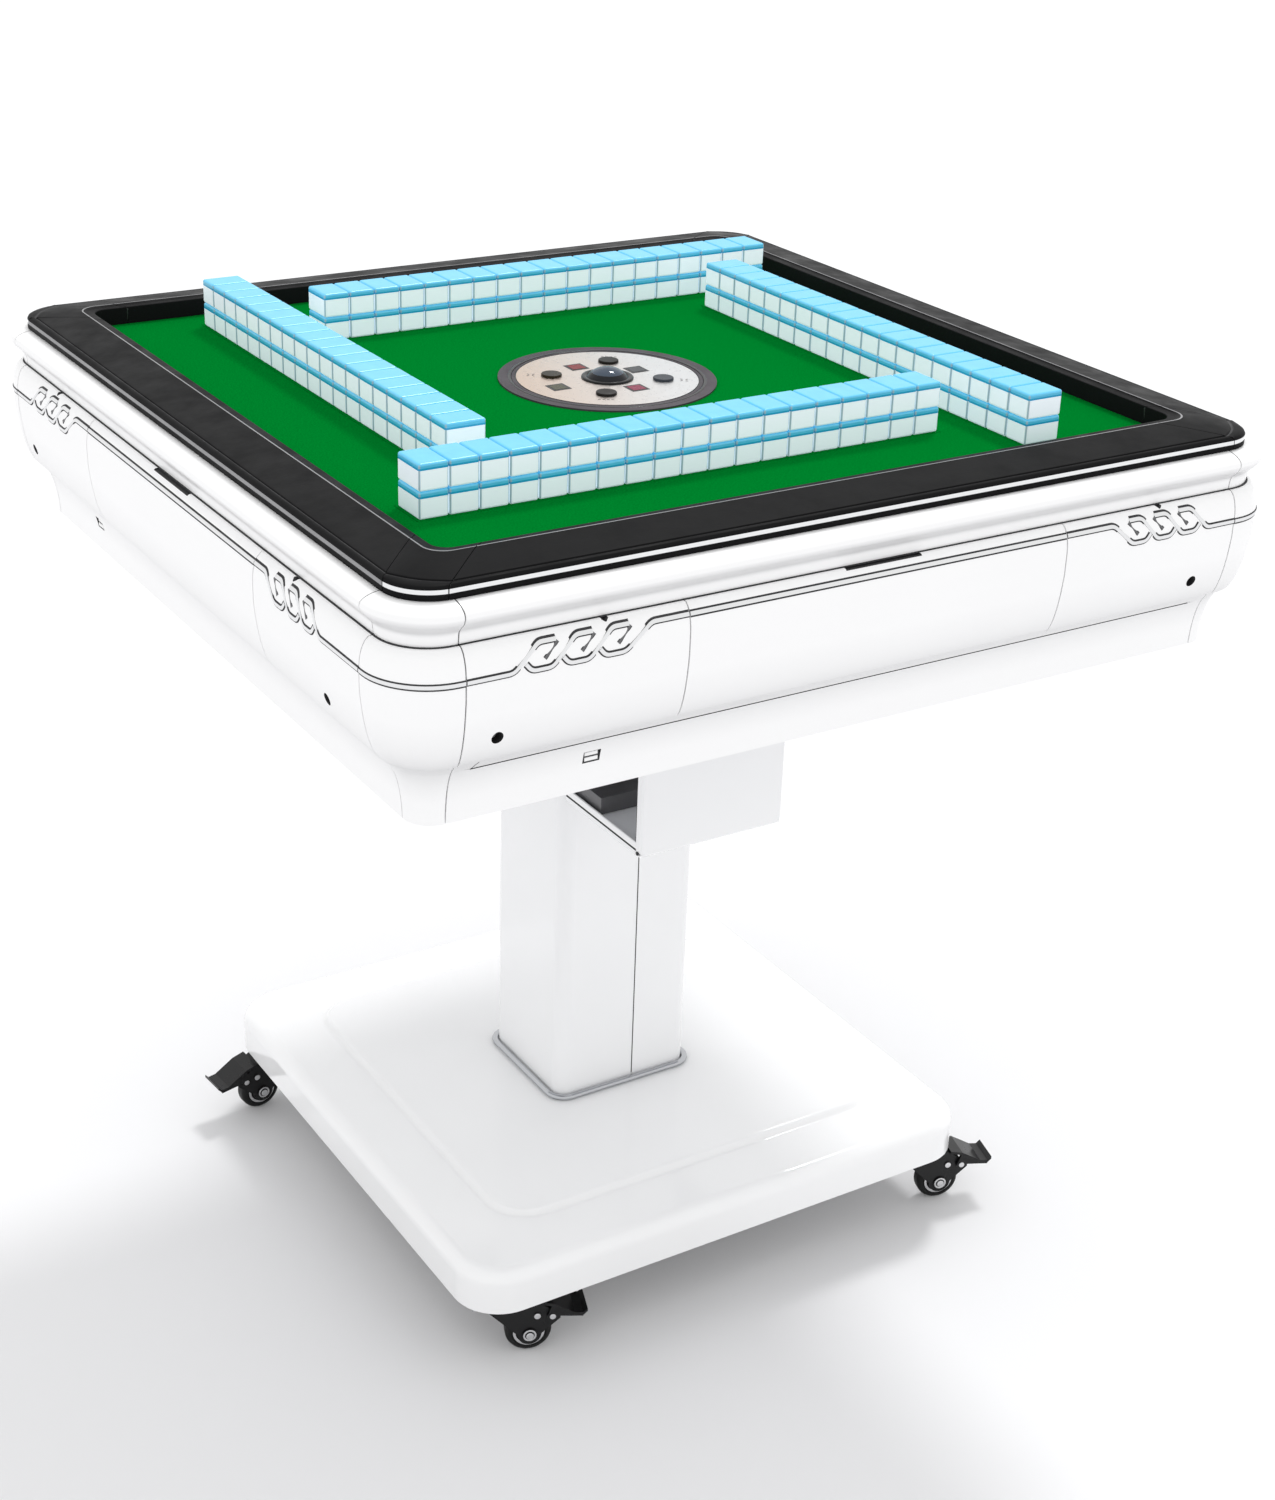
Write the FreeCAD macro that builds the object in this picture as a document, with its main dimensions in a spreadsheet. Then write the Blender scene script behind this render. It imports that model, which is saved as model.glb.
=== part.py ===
# Automatic mahjong table on one column, with a tilting top, raised tile walls and braked casters.
# Origin on the floor under the middle of the base, +Z up, the front faces -Y, lengths in millimetres.
import FreeCAD, Part
import math
import os
import re
import Sketcher
from FreeCAD import Placement, Rotation, Vector

doc = FreeCAD.newDocument("MahjongTable")
sheet = doc.addObject("Spreadsheet::Sheet", "Sizes")

SIZES = {
    # outlines that other sizes follow
    "base_half": 282, "body_half": 430,
    # casters
    "caster_tall": 70, "caster_inset": 40, "caster_place": "=base_half - caster_inset",
    "wheel_radius": 22, "wheel_wide": 16, "wheel_round": 5, "groove_out": 16, "groove_wide": 5,
    "groove_deep": 1.5, "axle_radius": 4, "axle_fit": 0.1,
    "bolt_radius": 7, "bolt_proud": 1.5, "side_gap": 1.2, "cheek_thick": 3, "cheek_foot": 11,
    "trail": 30, "fork_reach": 4, "fork_back": 14, "fork_over": 13, "fork_plate": 3,
    "swivel_radius": 21, "swivel_gap": 0.3, "stem_radius": 6, "stem_fit": 0.2,
    "plate_half": 26, "plate_thick": 3, "plate_bolt": 3.5, "plate_bolt_head": 2, "plate_bolt_inset": 6,
    "race_wall": 3, "race_tall": 6,
    "pedal_pin_out": 21, "pedal_pin_down": 17, "pedal_pin_radius": 2.5, "pedal_wall": 3, "pedal_hub": 5,
    "pedal_back": 13, "pedal_long": 29, "pedal_rise": 18, "pedal_end": 1, "pedal_lip": 4, "cheek_nose": 8,
    "cheek_nose_tall": 5, "rivet_radius": 3.5, "rivet_proud": 1, "rivet_out": 7,
    # base
    "base_corner": 46, "base_side": 44, "base_roll": 14, "cover_wall": 4,
    "panel_inset": 68, "panel_corner": 40, "panel_rise": 6, "frame_gap": 0.3, "frame_bar": 12,
    # column
    "column_wide": 152, "column_deep": 134, "column_corner": 14, "column_wall": 3, "seam_side": 10,
    "seam_gap": 0.6, "post_wide": 88, "post_deep": 80, "post_wall": 4, "post_gap": 1,
    "collar_wide": 7, "collar_tall": 6, "collar_gap": 0.3, "cap_thick": 5,
    # tilt joint
    "body_rise": 535, "tilt_back": 54, "tilt_drop": 32, "barrel_radius": 13, "barrel_long": 84,
    "barrel_clear": 1, "pin_radius": 8, "pin_fit": 0.05, "cheek_wall": 8, "cheek_gap": 0.5,
    "pin_head": 6, "pin_head_radius": 12, "rest_wide": 70, "rest_deep": 24, "rest_gap": 0.3,
    "bracket_plate": 5, "bracket_side": 24, "bracket_tail": 13, "bracket_front_gap": 1,
    # lock box in front of the column
    "lock_wide": 154, "lock_reach": 134, "lock_tall": 195, "lock_sheet": 2, "lock_lip": 9,
    "lock_back_gap": 4, "lever_cheek": 2.5, "lever_cheek_deep": 44, "lever_cheek_tall": 92,
    "lever_wide": 26, "lever_side_gap": 0.5, "lever_thick": 5, "lever_long": 96, "lever_hub": 9,
    "lever_pin": 4, "lever_fit": 0.1, "lever_drop": 70, "lever_pad": 12, "lever_set": 34,
    "lever_pad_gap": 0.5,
    # body
    "side_room": 42, "tray_half": "=body_half - side_room", "tray_corner": 26, "tray_floor": 4,
    "tray_wall": 4,
    "skirt_tall": 55, "fascia_tall": 97, "band_seam": 1.6, "band_tall": 31.4, "body_corner": 52,
    "fascia_bulge": 14, "fascia_step": 3, "skirt_lean": 16, "shell_thick": 5, "shell_fit": 0.3,
    "shell_rim": 6, "corner_seam": 57, "seam_place": "=body_half - corner_seam",
    # upper band and rail
    "band_nose": 1, "band_bulge": 15, "band_ledge": 13, "rail_inset": 17, "rail_corner": 38,
    "rail_edge": 9, "rail_roll": 3, "rail_tall": 18, "rail_wide": 55, "rail_open_corner": 14,
    "rail_inner_band": 9, "rail_step": 1.2, "rail_seam_out": 35, "rail_seam_in": 36,
    # top board and felt
    "board_thick": 10, "board_fit": 0.3, "board_corner": 24, "felt_thick": 2,
    # trim, notches, screws, sockets
    "trim_tall": 5, "trim_proud": 1.2, "trim_low": 69.5, "trim_high": 86.5, "trim_end": 38,
    "loop_low": 66, "loop_tall": 25, "loop_wide": 27, "loop_lean": 13, "loop_pitch": 34,
    "loop_line": 4.5, "loop_inset": 35, "screw_inset": 23, "screw_level": 21, "screw_hole": 5,
    "screw_fit": 0.3, "screw_sink": 2, "screw_head": 3, "screw_shank": 3, "notch_inset": 73,
    "notch_place": "=seam_place - notch_inset", "notch_wide": 10, "notch_tall": 4, "notch_deep": 4,
    "socket_inset": 123, "socket_place": "=seam_place - socket_inset", "socket_level": 22,
    "socket_wide": 20, "socket_tall": 13, "socket_deep": 9, "socket_wall": 1.5, "socket_fit": 0.3,
    "socket_sink": 1,
    # drawers
    "drawer_seam": 246, "drawer_half": "=body_half - drawer_seam", "drawer_gap": 0.6, "drawer_side": 34,
    "drawer_box_half": "=drawer_half - drawer_side", "drawer_deep": 136,
    "drawer_wall": 3, "drawer_tall": 66, "drawer_rise": 9, "finger_half": 37, "finger_tall": 5,
    "finger_deep": 14, "runner_wide": 16, "runner_tall": 3, "runner_gap": 0.3, "drawer_clear": 1,
    # tiles and lifts
    "tile_wide": 26, "tile_long": 37, "tile_thick": 22.4, "tile_round": 2.2, "tile_gap": 0.4,
    "row_inset": 171.5, "row_place": "=body_half - row_inset", "row_end": 107,
    "row_shift": "=body_half - row_end", "lift_margin": 1.7, "lift_gap": 0.6, "lift_thick": 8,
    "leg_wide": 14, "leg_thick": 8, "leg_long": 104, "leg_in": 70, "guide_wall": 3,
    "guide_gap": 0.3, "guide_tall": 86,
    # console
    "ring_radius": 100, "ring_flange": 1.5, "sleeve_radius": 92, "sleeve_wall": 4, "sleeve_tall": 40,
    "sleeve_fit": 0.3, "drum_gap": 0.3, "drum_wall": 3, "drum_tall": 70, "drum_plate": 4,
    "drum_proud": 1.6, "dome_radius": 20, "dome_tall": 10, "dome_wall": 1.5, "bezel_wide": 4,
    "bezel_tall": 2, "dice_side": 6, "dice_place": 5, "dice_round": 0.8, "disc_radius": 16,
    "disc_thick": 2, "disc_gap": 0.3, "spindle_radius": 3, "spindle_long": 9, "spindle_fit": 0.1,
    "button_radius": 9.5, "button_place": 51, "button_proud": 2.4, "button_round": 0.8,
    "button_gap": 0.3, "button_lip": 2, "button_lip_tall": 1.5, "window_side": 18,
    "window_thick": 1.4, "window_proud": 0.3, "window_fit": 0.2,
    # turntable inside the body
    "turn_radius": 190, "turn_thick": 4, "turn_rim": 14, "turn_rim_wall": 4, "turn_gap": 0.3,
    "turn_hub": 22, "turn_hub_tall": 10, "motor_half": 42, "motor_tall": 18, "shaft_radius": 8,
    "shaft_fit": 0.1,
    # power inlet in the floor of the body
    "inlet_wide": 28, "inlet_tall": 20, "inlet_deep": 16, "inlet_wall": 2, "inlet_inset": 88,
    "inlet_place": "=tray_half - inlet_inset",
    "inlet_flange": 4, "inlet_flange_thick": 2, "inlet_fit": 0.3, "inlet_pin": 1.5,
    "inlet_pin_pitch": 7,
    # one overrun for every cutting tool
    "overrun": 5,
    # edges this close to a level count as lying on it
    "level_play": 0.0001,
}
TILE_COLUMNS = 19
TILE_LAYERS = 2
LOOP_COUNT = 3
CONSOLE_TURN = -32
CASTER_TURNS = {"front_left": -20, "front_right": -16, "back_right": 60, "back_left": 185}
CASTER_SIGNS = {"front_left": ("-", "-"), "front_right": ("", "-"), "back_right": ("", ""),
                "back_left": ("-", "")}
# Profiles from the bottom up: share of the height, then share of the inset from the widest half side.
FASCIA_SHARES = ((0, 1), (0.05, 0.78), (0.13, 0.55), (0.24, 0.34), (0.37, 0.17), (0.5, 0.06), (0.61, 0),
                 (0.77, 0), (0.86, 0.07), (0.93, 0.22), (0.97, 0.38), (1, 0.6))
TRIM_FIRST = 5
TRIM_LAST = 11
SKIRT_SHARES = ((0, 1), (0.25, 0.66), (0.53, 0.33), (0.8, 0.09), (1, 0))
BAND_SHARES = ((0, 0.72), (0.12, 0.7), (0.28, 0.64), (0.42, 0.4), (0.52, 0.18), (0.62, 0.05), (0.72, 0),
               (0.82, 0.08), (0.9, 0.3), (0.96, 0.62), (1, 1))
RAIL_ROLL_SHARES = ((0, 0), (0.45, 0.16), (0.8, 0.55), (1, 1))
PEDAL_SHARES = ((0, 0), (0.31, 0.2), (0.57, 0.58), (0.81, 0.94), (1, 1))
WINDOW_SHARES = ((-0.35, 0.36), (0.31, 0.34), (0.32, -0.35), (-0.52, -0.42))
BEVEL_SHARE = 0.8
SCREW_INSET_SHARE = 0.37
SOCKET_INSET_SHARE = 0.6
NOTCH_INSET_SHARE = 0.6

for row, (alias, amount) in enumerate(SIZES.items(), 1):
    sheet.set("A%d" % row, alias)
    sheet.set("B%d" % row, str(amount))
    sheet.setAlias("B%d" % row, alias)
doc.recompute()

# Levels and places that follow from the sizes.
BASE_TOP = "(caster_tall + base_side)"
FRAME_TOP = "(caster_tall + base_side - cover_wall)"
PANEL_TOP = "(caster_tall + base_side + panel_rise)"
TRAY_LOW = "(%s + body_rise)" % PANEL_TOP
TRAY_TOP = "(%s + tray_floor)" % TRAY_LOW
FASCIA_LOW = "(%s + skirt_tall)" % TRAY_LOW
FASCIA_TOP = "(%s + fascia_tall)" % FASCIA_LOW
BAND_LOW = "(%s + band_seam)" % FASCIA_TOP
FELT_TOP = "(%s + band_tall)" % BAND_LOW
BOARD_TOP = "(%s - felt_thick)" % FELT_TOP
BOARD_LOW = "(%s - board_thick)" % BOARD_TOP
TILT_Z = "(%s - tilt_drop)" % TRAY_LOW
CAP_TOP = "(%s - barrel_radius - barrel_clear)" % TILT_Z
COLUMN_TOP = "(%s - cap_thick)" % CAP_TOP
LOCK_BACK = "(column_deep / 2 + lock_back_gap)"
LOCK_FRONT = "(%s + lock_reach)" % LOCK_BACK
INNER_HALF = "(tray_half + shell_fit)"
INNER_CORNER = "(tray_corner + shell_fit)"
SHELL_IN = "(body_half - fascia_bulge - shell_thick)"
RAIL_HALF = "(body_half - rail_inset)"
RAIL_OPEN = "(body_half - rail_inset - rail_wide)"
BOARD_HALF = "(tray_half + band_ledge)"
BOARD_IN = "(tray_half + band_ledge - board_fit)"
ROW_LONG = "(%d * (tile_wide + tile_gap) - tile_gap)" % TILE_COLUMNS
LIFT_X = "(%s / 2 - row_shift)" % ROW_LONG
LIFT_Y = "(tile_long / 2 - row_place)"
DRUM_RADIUS = "(sleeve_radius - sleeve_wall - drum_gap)"
PLATE_TOP = "(%s + drum_proud)" % FELT_TOP
DRAWER_LOW = "(%s + drawer_rise)" % FASCIA_LOW
QUARTERS = range(4)
SIDES = ("front", "right", "back", "left")
TURN_Z = Vector(0, 0, 1)
ALONG_X = Rotation(Vector(0, 1, 0), 90)
ALONG_Y = Rotation(Vector(1, 0, 0), -90)
UPRIGHT = Rotation(Vector(1, 0, 0), 90)
WORD = re.compile(r"\b[a-z][a-z_]*\b")


def bound(text):
    """The size expression as the document reads it."""
    return WORD.sub(lambda m: "Sizes." + m.group(0) if m.group(0) in SIZES else m.group(0), text)


def size(text):
    """The value of a size expression now."""
    return float(sheet.evalExpression(text))


def place(obj, x="0", y="0", z="0", quarter=0, lay=None):
    """Put an object at x, y, z, turned by quarters about the table's axis."""
    turn = Rotation(TURN_Z, 90 * quarter)
    obj.Placement = Placement(Vector(), turn.multiply(lay) if lay else turn)
    spots = ((x, y), ("-(%s)" % y, x), ("-(%s)" % x, "-(%s)" % y), (y, "-(%s)" % x))[quarter]
    for axis, text in zip("xyz", spots + (z,)):
        obj.setExpression("Placement.Base." + axis, bound(text))
    return obj


def make(kind, name, **props):
    obj = doc.addObject(kind, name)
    for prop, text in props.items():
        obj.setExpression(prop, bound(text))
    return obj


def box(name, long, wide, tall, x, y, z, quarter=0):
    """A block centred on x and y, standing on z."""
    obj = make("Part::Box", name, Length=long, Width=wide, Height=tall)
    return place(obj, "%s - (%s) / 2" % (x, long), "%s - (%s) / 2" % (y, wide), z, quarter)


def slab(name, x0, x1, y0, y1, z0, z1, quarter=0):
    """A block given by its low and high faces."""
    obj = make("Part::Box", name, Length="(%s) - (%s)" % (x1, x0), Width="(%s) - (%s)" % (y1, y0),
               Height="(%s) - (%s)" % (z1, z0))
    return place(obj, x0, y0, z0, quarter)


def rod(name, radius, tall, x="0", y="0", z="0", quarter=0, lay=None):
    obj = make("Part::Cylinder", name, Radius=radius, Height=tall)
    return place(obj, x, y, z, quarter, lay)


def group(name, items):
    obj = doc.addObject("Part::Compound", name)
    obj.Links = list(items)
    return obj


def fuse(name, *items):
    obj = doc.addObject("Part::MultiFuse", name)
    obj.Shapes = list(items)
    obj.Refine = True
    return obj


def cut(name, base, *tools):
    obj = doc.addObject("Part::Cut", name)
    obj.Base = base
    obj.Tool = tools[0] if len(tools) == 1 else group(name + "_tools", tools)
    return obj


def common(name, base, tool):
    obj = doc.addObject("Part::Common", name)
    obj.Base = base
    obj.Tool = tool
    return obj


def rounded(sketch, half_x, half_y, corner):
    """Draw a rounded rectangle about the axis into a sketch."""
    hx, hy, r = size(half_x), size(half_y), size(corner)
    cx, cy = hx - r, hy - r
    runs = (((-cx, -hy), (cx, -hy)), ((hx, -cy), (hx, cy)), ((cx, hy), (-cx, hy)), ((-hx, cy), (-hx, -cy)))
    for start, end in runs:
        sketch.addGeometry(Part.LineSegment(Vector(*start, 0), Vector(*end, 0)))
    for x, y, angle in ((cx, -cy, 270), (cx, cy, 0), (-cx, cy, 90), (-cx, -cy, 180)):
        circle = Part.Circle(Vector(x, y, 0), TURN_Z, r)
        sketch.addGeometry(Part.ArcOfCircle(circle, math.radians(angle), math.radians(angle + 90)))
    for line in QUARTERS:
        sketch.addConstraint(Sketcher.Constraint("Tangent", line, 2, 4 + line, 1))
        sketch.addConstraint(Sketcher.Constraint("Tangent", 4 + line, 2, (line + 1) % 4, 1))
        sketch.addConstraint(Sketcher.Constraint(("Horizontal", "Vertical")[line % 2], line))
    for arc in (5, 6, 7):
        sketch.addConstraint(Sketcher.Constraint("Equal", 4, arc))
    dims = (("Radius", (4, r), corner), ("DistanceY", (-1, 1, 0, 1, -hy), "-(%s)" % half_y),
            ("DistanceX", (-1, 1, 1, 1, hx), half_x), ("DistanceY", (-1, 1, 2, 1, hy), half_y),
            ("DistanceX", (-1, 1, 3, 1, -hx), "-(%s)" % half_x))
    for kind, args, text in dims:
        index = sketch.addConstraint(Sketcher.Constraint(kind, *args))
        sketch.setExpression("Constraints[%d]" % index, bound(text))
    return sketch


def polygons(name, outlines, z="0", quarter=0, lay=None):
    """A sketch of closed polygons whose corners are pairs of size expressions."""
    sketch = place(doc.addObject("Sketcher::SketchObject", name), z=z, quarter=quarter, lay=lay)
    first = 0
    for points in outlines:
        spots = [Vector(size(x), size(y), 0) for x, y in points]
        count = len(spots)
        for i in range(count):
            sketch.addGeometry(Part.LineSegment(spots[i], spots[(i + 1) % count]))
        for i in range(count):
            join = Sketcher.Constraint("Coincident", first + i, 2, first + (i + 1) % count, 1)
            sketch.addConstraint(join)
        for i, pair in enumerate(points):
            for kind, text, value in zip(("DistanceX", "DistanceY"), pair, (spots[i].x, spots[i].y)):
                index = sketch.addConstraint(Sketcher.Constraint(kind, -1, 1, first + i, 1, value))
                sketch.setExpression("Constraints[%d]" % index, bound(text))
        first += count
    return sketch


def pull(name, sketch, forward, back="0", direction=TURN_Z):
    """The sketch drawn out along a direction."""
    obj = doc.addObject("Part::Extrusion", name)
    obj.Base = sketch
    obj.DirMode = "Custom"
    obj.Dir = direction
    obj.Solid = True
    obj.setExpression("LengthFwd", bound(forward))
    obj.setExpression("LengthRev", bound(back))
    return obj


def prism(name, half_x, half_y, corner, low, high):
    """A rounded block about the axis between two levels."""
    sketch = place(doc.addObject("Sketcher::SketchObject", name + "_outline"), z=low)
    return pull(name, rounded(sketch, half_x, half_y, corner), "(%s) - (%s)" % (high, low))


def square(name, half, corner, low, high):
    return prism(name, half, half, corner, low, high)


def loft(name, sections):
    """A solid through rounded squares given as level, half side and corner radius."""
    obj = doc.addObject("Part::Loft", name)
    rings = []
    for i, (level, half, corner) in enumerate(sections):
        ring = place(doc.addObject("Sketcher::SketchObject", "%s_%d" % (name, i)), z=level)
        rings.append(rounded(ring, half, half, corner))
    obj.Sections = rings
    obj.Solid = True
    obj.Ruled = True
    return obj


def profile(shares, low, tall, half, inset):
    """Loft sections for a moulded side: the corner radius shrinks as the side draws in."""
    return [("%s + (%s) * %s" % (low, tall, up), "%s - (%s) * %s" % (half, inset, inward),
             "body_corner - (%s) * %s" % (inset, inward)) for up, inward in shares]


def edges_at(shape, level):
    """Numbers of the edges that lie flat at a level."""
    play = size("level_play")
    return [i + 1 for i, edge in enumerate(shape.Edges)
            if max(abs(edge.BoundBox.ZMin - level), abs(edge.BoundBox.ZMax - level)) < play]


def rolled(name, base, radius, levels):
    """Round the edges at the given levels."""
    doc.recompute()
    obj = doc.addObject("Part::Fillet", name)
    obj.Base = base
    rim = size(radius)
    spots = [edge for level in levels for edge in edges_at(base.Shape, size(level))]
    obj.Edges = [(edge, rim, rim) for edge in spots]
    return obj


nodes = {}


def node(name, obj):
    obj.Label = name
    nodes[name] = obj
    return obj


# The base: a steel frame, a moulded cover with a raised panel, and a collar at the column's foot.
cover_body = doc.addObject("PartDesign::Body", "CoverBody")


def cover_sketch(name, half, corner, level):
    sketch = cover_body.newObject("Sketcher::SketchObject", name)
    plane = next(f for f in cover_body.Origin.OriginFeatures if f.Role == "XY_Plane")
    sketch.AttachmentSupport = [(plane, "")]
    sketch.MapMode = "FlatFace"
    sketch.setExpression("AttachmentOffset.Base.z", bound(level))
    return rounded(sketch, half, half, corner)


def cover_pad(name, sketch, length):
    feature = cover_body.newObject("PartDesign::Pad", name)
    feature.Profile = sketch
    feature.setExpression("Length", bound(length))
    doc.recompute()
    return feature


def cover_edge(kind, name, base, level, prop, length):
    feature = cover_body.newObject(kind, name)
    feature.Base = (base, ["Edge%d" % i for i in edges_at(base.Shape, size(level))])
    feature.setExpression(prop, bound(length))
    doc.recompute()
    return feature


rim = cover_pad("RimPad", cover_sketch("RimSketch", "base_half", "base_corner", "caster_tall"), "base_side")
cover_edge("PartDesign::Fillet", "RimRoll", rim, BASE_TOP, "Radius", "base_roll")
panel = cover_pad("PanelPad", cover_sketch("PanelSketch", "base_half - panel_inset", "panel_corner",
                                           BASE_TOP),
                  "panel_rise")
cover_edge("PartDesign::Chamfer", "PanelBevel", panel, PANEL_TOP, "Size", "panel_rise * %s" % BEVEL_SHARE)

cover_hollow = rolled("CoverHollow", square("CoverHollowBlock", "base_half - cover_wall",
                                            "base_corner - cover_wall", "caster_tall - overrun", FRAME_TOP),
                      "base_roll - cover_wall", [FRAME_TOP])
post_hole = prism("PostHole", "post_wide / 2 + post_gap", "post_deep / 2 + post_gap",
                  "post_wall + post_gap", FRAME_TOP + " - overrun", PANEL_TOP + " + overrun")
node("base_cover", cut("BaseCover", cover_body, cover_hollow, post_hole))

FRAME_HALF = "(base_half - base_roll - frame_gap)"
PAD_LOW = "(2 * caster_place - %s)" % FRAME_HALF
frame_block = square("FrameBlock", FRAME_HALF, "base_corner - base_roll", "caster_tall", FRAME_TOP)
frame_parts = [prism("FrameFoot", "column_wide / 2", "column_deep / 2", "column_corner", "caster_tall",
                     FRAME_TOP)]
for quarter in QUARTERS:
    foot_half = ("column_deep / 2", "column_wide / 2")[quarter % 2]
    frame_parts.append(slab("FrameRim%d" % quarter, "-" + PAD_LOW, PAD_LOW, "-" + FRAME_HALF,
                            "frame_bar - " + FRAME_HALF, "caster_tall", FRAME_TOP, quarter))
    frame_parts.append(slab("FrameArm%d" % quarter, "-frame_bar / 2", "frame_bar / 2",
                            "frame_bar - " + FRAME_HALF, "-" + foot_half, "caster_tall", FRAME_TOP,
                            quarter))
    pad_block = common("FramePadBlock%d" % quarter, frame_block, slab(
        "FramePadRoom%d" % quarter, PAD_LOW, FRAME_HALF + " + overrun", PAD_LOW, FRAME_HALF + " + overrun",
        "caster_tall - overrun", FRAME_TOP + " + overrun", quarter))
    frame_parts.append(cut("FramePad%d" % quarter, pad_block, rod(
        "StemHole%d" % quarter, "stem_radius + stem_fit", "plate_thick", "caster_place", "caster_place",
        "caster_tall", quarter)))
node("base_frame", group("BaseFrame", frame_parts))

node("column_collar", cut("ColumnCollar", prism(
    "CollarBlock", "column_wide / 2 + collar_gap + collar_wide",
    "column_deep / 2 + collar_gap + collar_wide",
    "column_corner + collar_wide", PANEL_TOP, PANEL_TOP + " + collar_tall"), prism(
    "CollarHole", "column_wide / 2 + collar_gap", "column_deep / 2 + collar_gap", "column_corner",
    PANEL_TOP + " - overrun", PANEL_TOP + " + collar_tall + overrun")))


# Casters: a bolted plate with a raceway, a swivelling fork, a wheel and a brake pedal.
def settled(obj, corner):
    """Move a caster piece from its own axis to its corner and its resting direction."""
    sx, sy = CASTER_SIGNS[corner]
    turn = Rotation(TURN_Z, CASTER_TURNS[corner])
    return place(obj, sx + "caster_place", sy + "caster_place", "0", 0, turn)


FORK_TOP = "(2 * wheel_radius + fork_over + fork_plate)"
PLATE_LOW = "(caster_tall - plate_thick)"
CHEEK_IN = "(wheel_wide / 2 + side_gap)"
CHEEK_OUT = "(wheel_wide / 2 + side_gap + cheek_thick)"
PEDAL_X = "(trail + pedal_pin_out)"
PEDAL_Z = "(%s - pedal_pin_down)" % FORK_TOP
PEDAL_IN = "(%s + swivel_gap)" % CHEEK_OUT
PEDAL_OUT = "(%s + pedal_wall)" % PEDAL_IN


def across(name, radius, half, x, z):
    """A rod along Y about the caster's middle plane."""
    return rod(name, radius, "2 * (%s)" % half, x, "-(%s)" % half, z, 0, ALONG_Y)


def caster_plate(corner):
    plate = box("Plate_" + corner, "2 * plate_half", "2 * plate_half", "plate_thick", "0", "0", PLATE_LOW)
    race = cut("Race_" + corner, rod("RaceRim_" + corner, "swivel_radius + swivel_gap + race_wall",
                                     "race_tall", z=PLATE_LOW + " - race_tall"),
               rod("RaceHole_" + corner, "swivel_radius + swivel_gap", "race_tall + overrun",
                   z=PLATE_LOW + " - race_tall - overrun"))
    bore = rod("PlateBore_" + corner, "stem_radius + stem_fit", "plate_thick + 2 * overrun",
               z=PLATE_LOW + " - overrun")
    solid = cut("PlateSolid_" + corner, fuse("PlateRace_" + corner, plate, race), bore)
    spot = "(plate_half - plate_bolt_inset)"
    bolts = [rod("PlateBolt_%s_%d" % (corner, quarter), "plate_bolt", "plate_bolt_head", spot, spot,
                 PLATE_LOW + " - plate_bolt_head", quarter) for quarter in QUARTERS]
    return settled(group("PlateSet_" + corner, [solid] + bolts), corner)


def caster_fork(corner):
    housing = rod("Housing_" + corner, "swivel_radius", "%s - swivel_gap - %s" % (PLATE_LOW, FORK_TOP),
                  z=FORK_TOP)
    stem = rod("Stem_" + corner, "stem_radius", "caster_tall - " + FORK_TOP, z=FORK_TOP)
    roof = slab("Roof_" + corner, "-fork_back", "trail + fork_reach", "-" + CHEEK_OUT, CHEEK_OUT,
                FORK_TOP + " - fork_plate", FORK_TOP)
    collar = rod("ForkCollar_" + corner, "swivel_radius", "fork_plate", z=FORK_TOP + " - fork_plate")
    side = polygons("CheekSide_" + corner, [[
        ("-fork_back", FORK_TOP), ("-fork_back", FORK_TOP + " - fork_plate"),
        ("trail - cheek_foot", "wheel_radius"), ("trail + cheek_foot", "wheel_radius"),
        (PEDAL_X + " + cheek_nose", PEDAL_Z + " - cheek_nose_tall"), (PEDAL_X + " + cheek_nose", PEDAL_Z),
        ("trail + fork_reach", FORK_TOP)]], lay=UPRIGHT)
    cheeks = pull("Cheeks_" + corner, side, CHEEK_OUT, CHEEK_OUT, Vector(0, 1, 0))
    foot = across("CheekFoot_" + corner, "cheek_foot", CHEEK_OUT, "trail", "wheel_radius")
    gap = slab("WheelRoom_" + corner, "-fork_back - overrun", PEDAL_X + " + cheek_nose + overrun",
               "-" + CHEEK_IN, CHEEK_IN, "-overrun", FORK_TOP + " - fork_plate")
    shell = cut("ForkShell_" + corner, fuse("ForkBlock_" + corner, cheeks, foot), gap)
    axle = across("Axle_" + corner, "axle_radius", CHEEK_OUT, "trail", "wheel_radius")
    bolt = across("AxleBolt_" + corner, "bolt_radius", CHEEK_OUT + " + bolt_proud", "trail", "wheel_radius")
    bolt_heads = cut("AxleHeads_" + corner, bolt, across("AxleGap_" + corner, "bolt_radius + overrun",
                                                         CHEEK_IN, "trail", "wheel_radius"))
    pin = across("PedalPin_" + corner, "pedal_pin_radius", PEDAL_OUT + " + swivel_gap", PEDAL_X, PEDAL_Z)
    rivet = cut("Rivet_" + corner, across("RivetRod_" + corner, "rivet_radius",
                                          CHEEK_OUT + " + rivet_proud",
                                          "trail + rivet_out", PEDAL_Z),
                across("RivetGap_" + corner, "rivet_radius + overrun", CHEEK_IN, "trail + rivet_out",
                       PEDAL_Z))
    return settled(fuse("Fork_" + corner, housing, stem, roof, collar, shell, axle, bolt_heads, pin, rivet),
                   corner)


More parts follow.
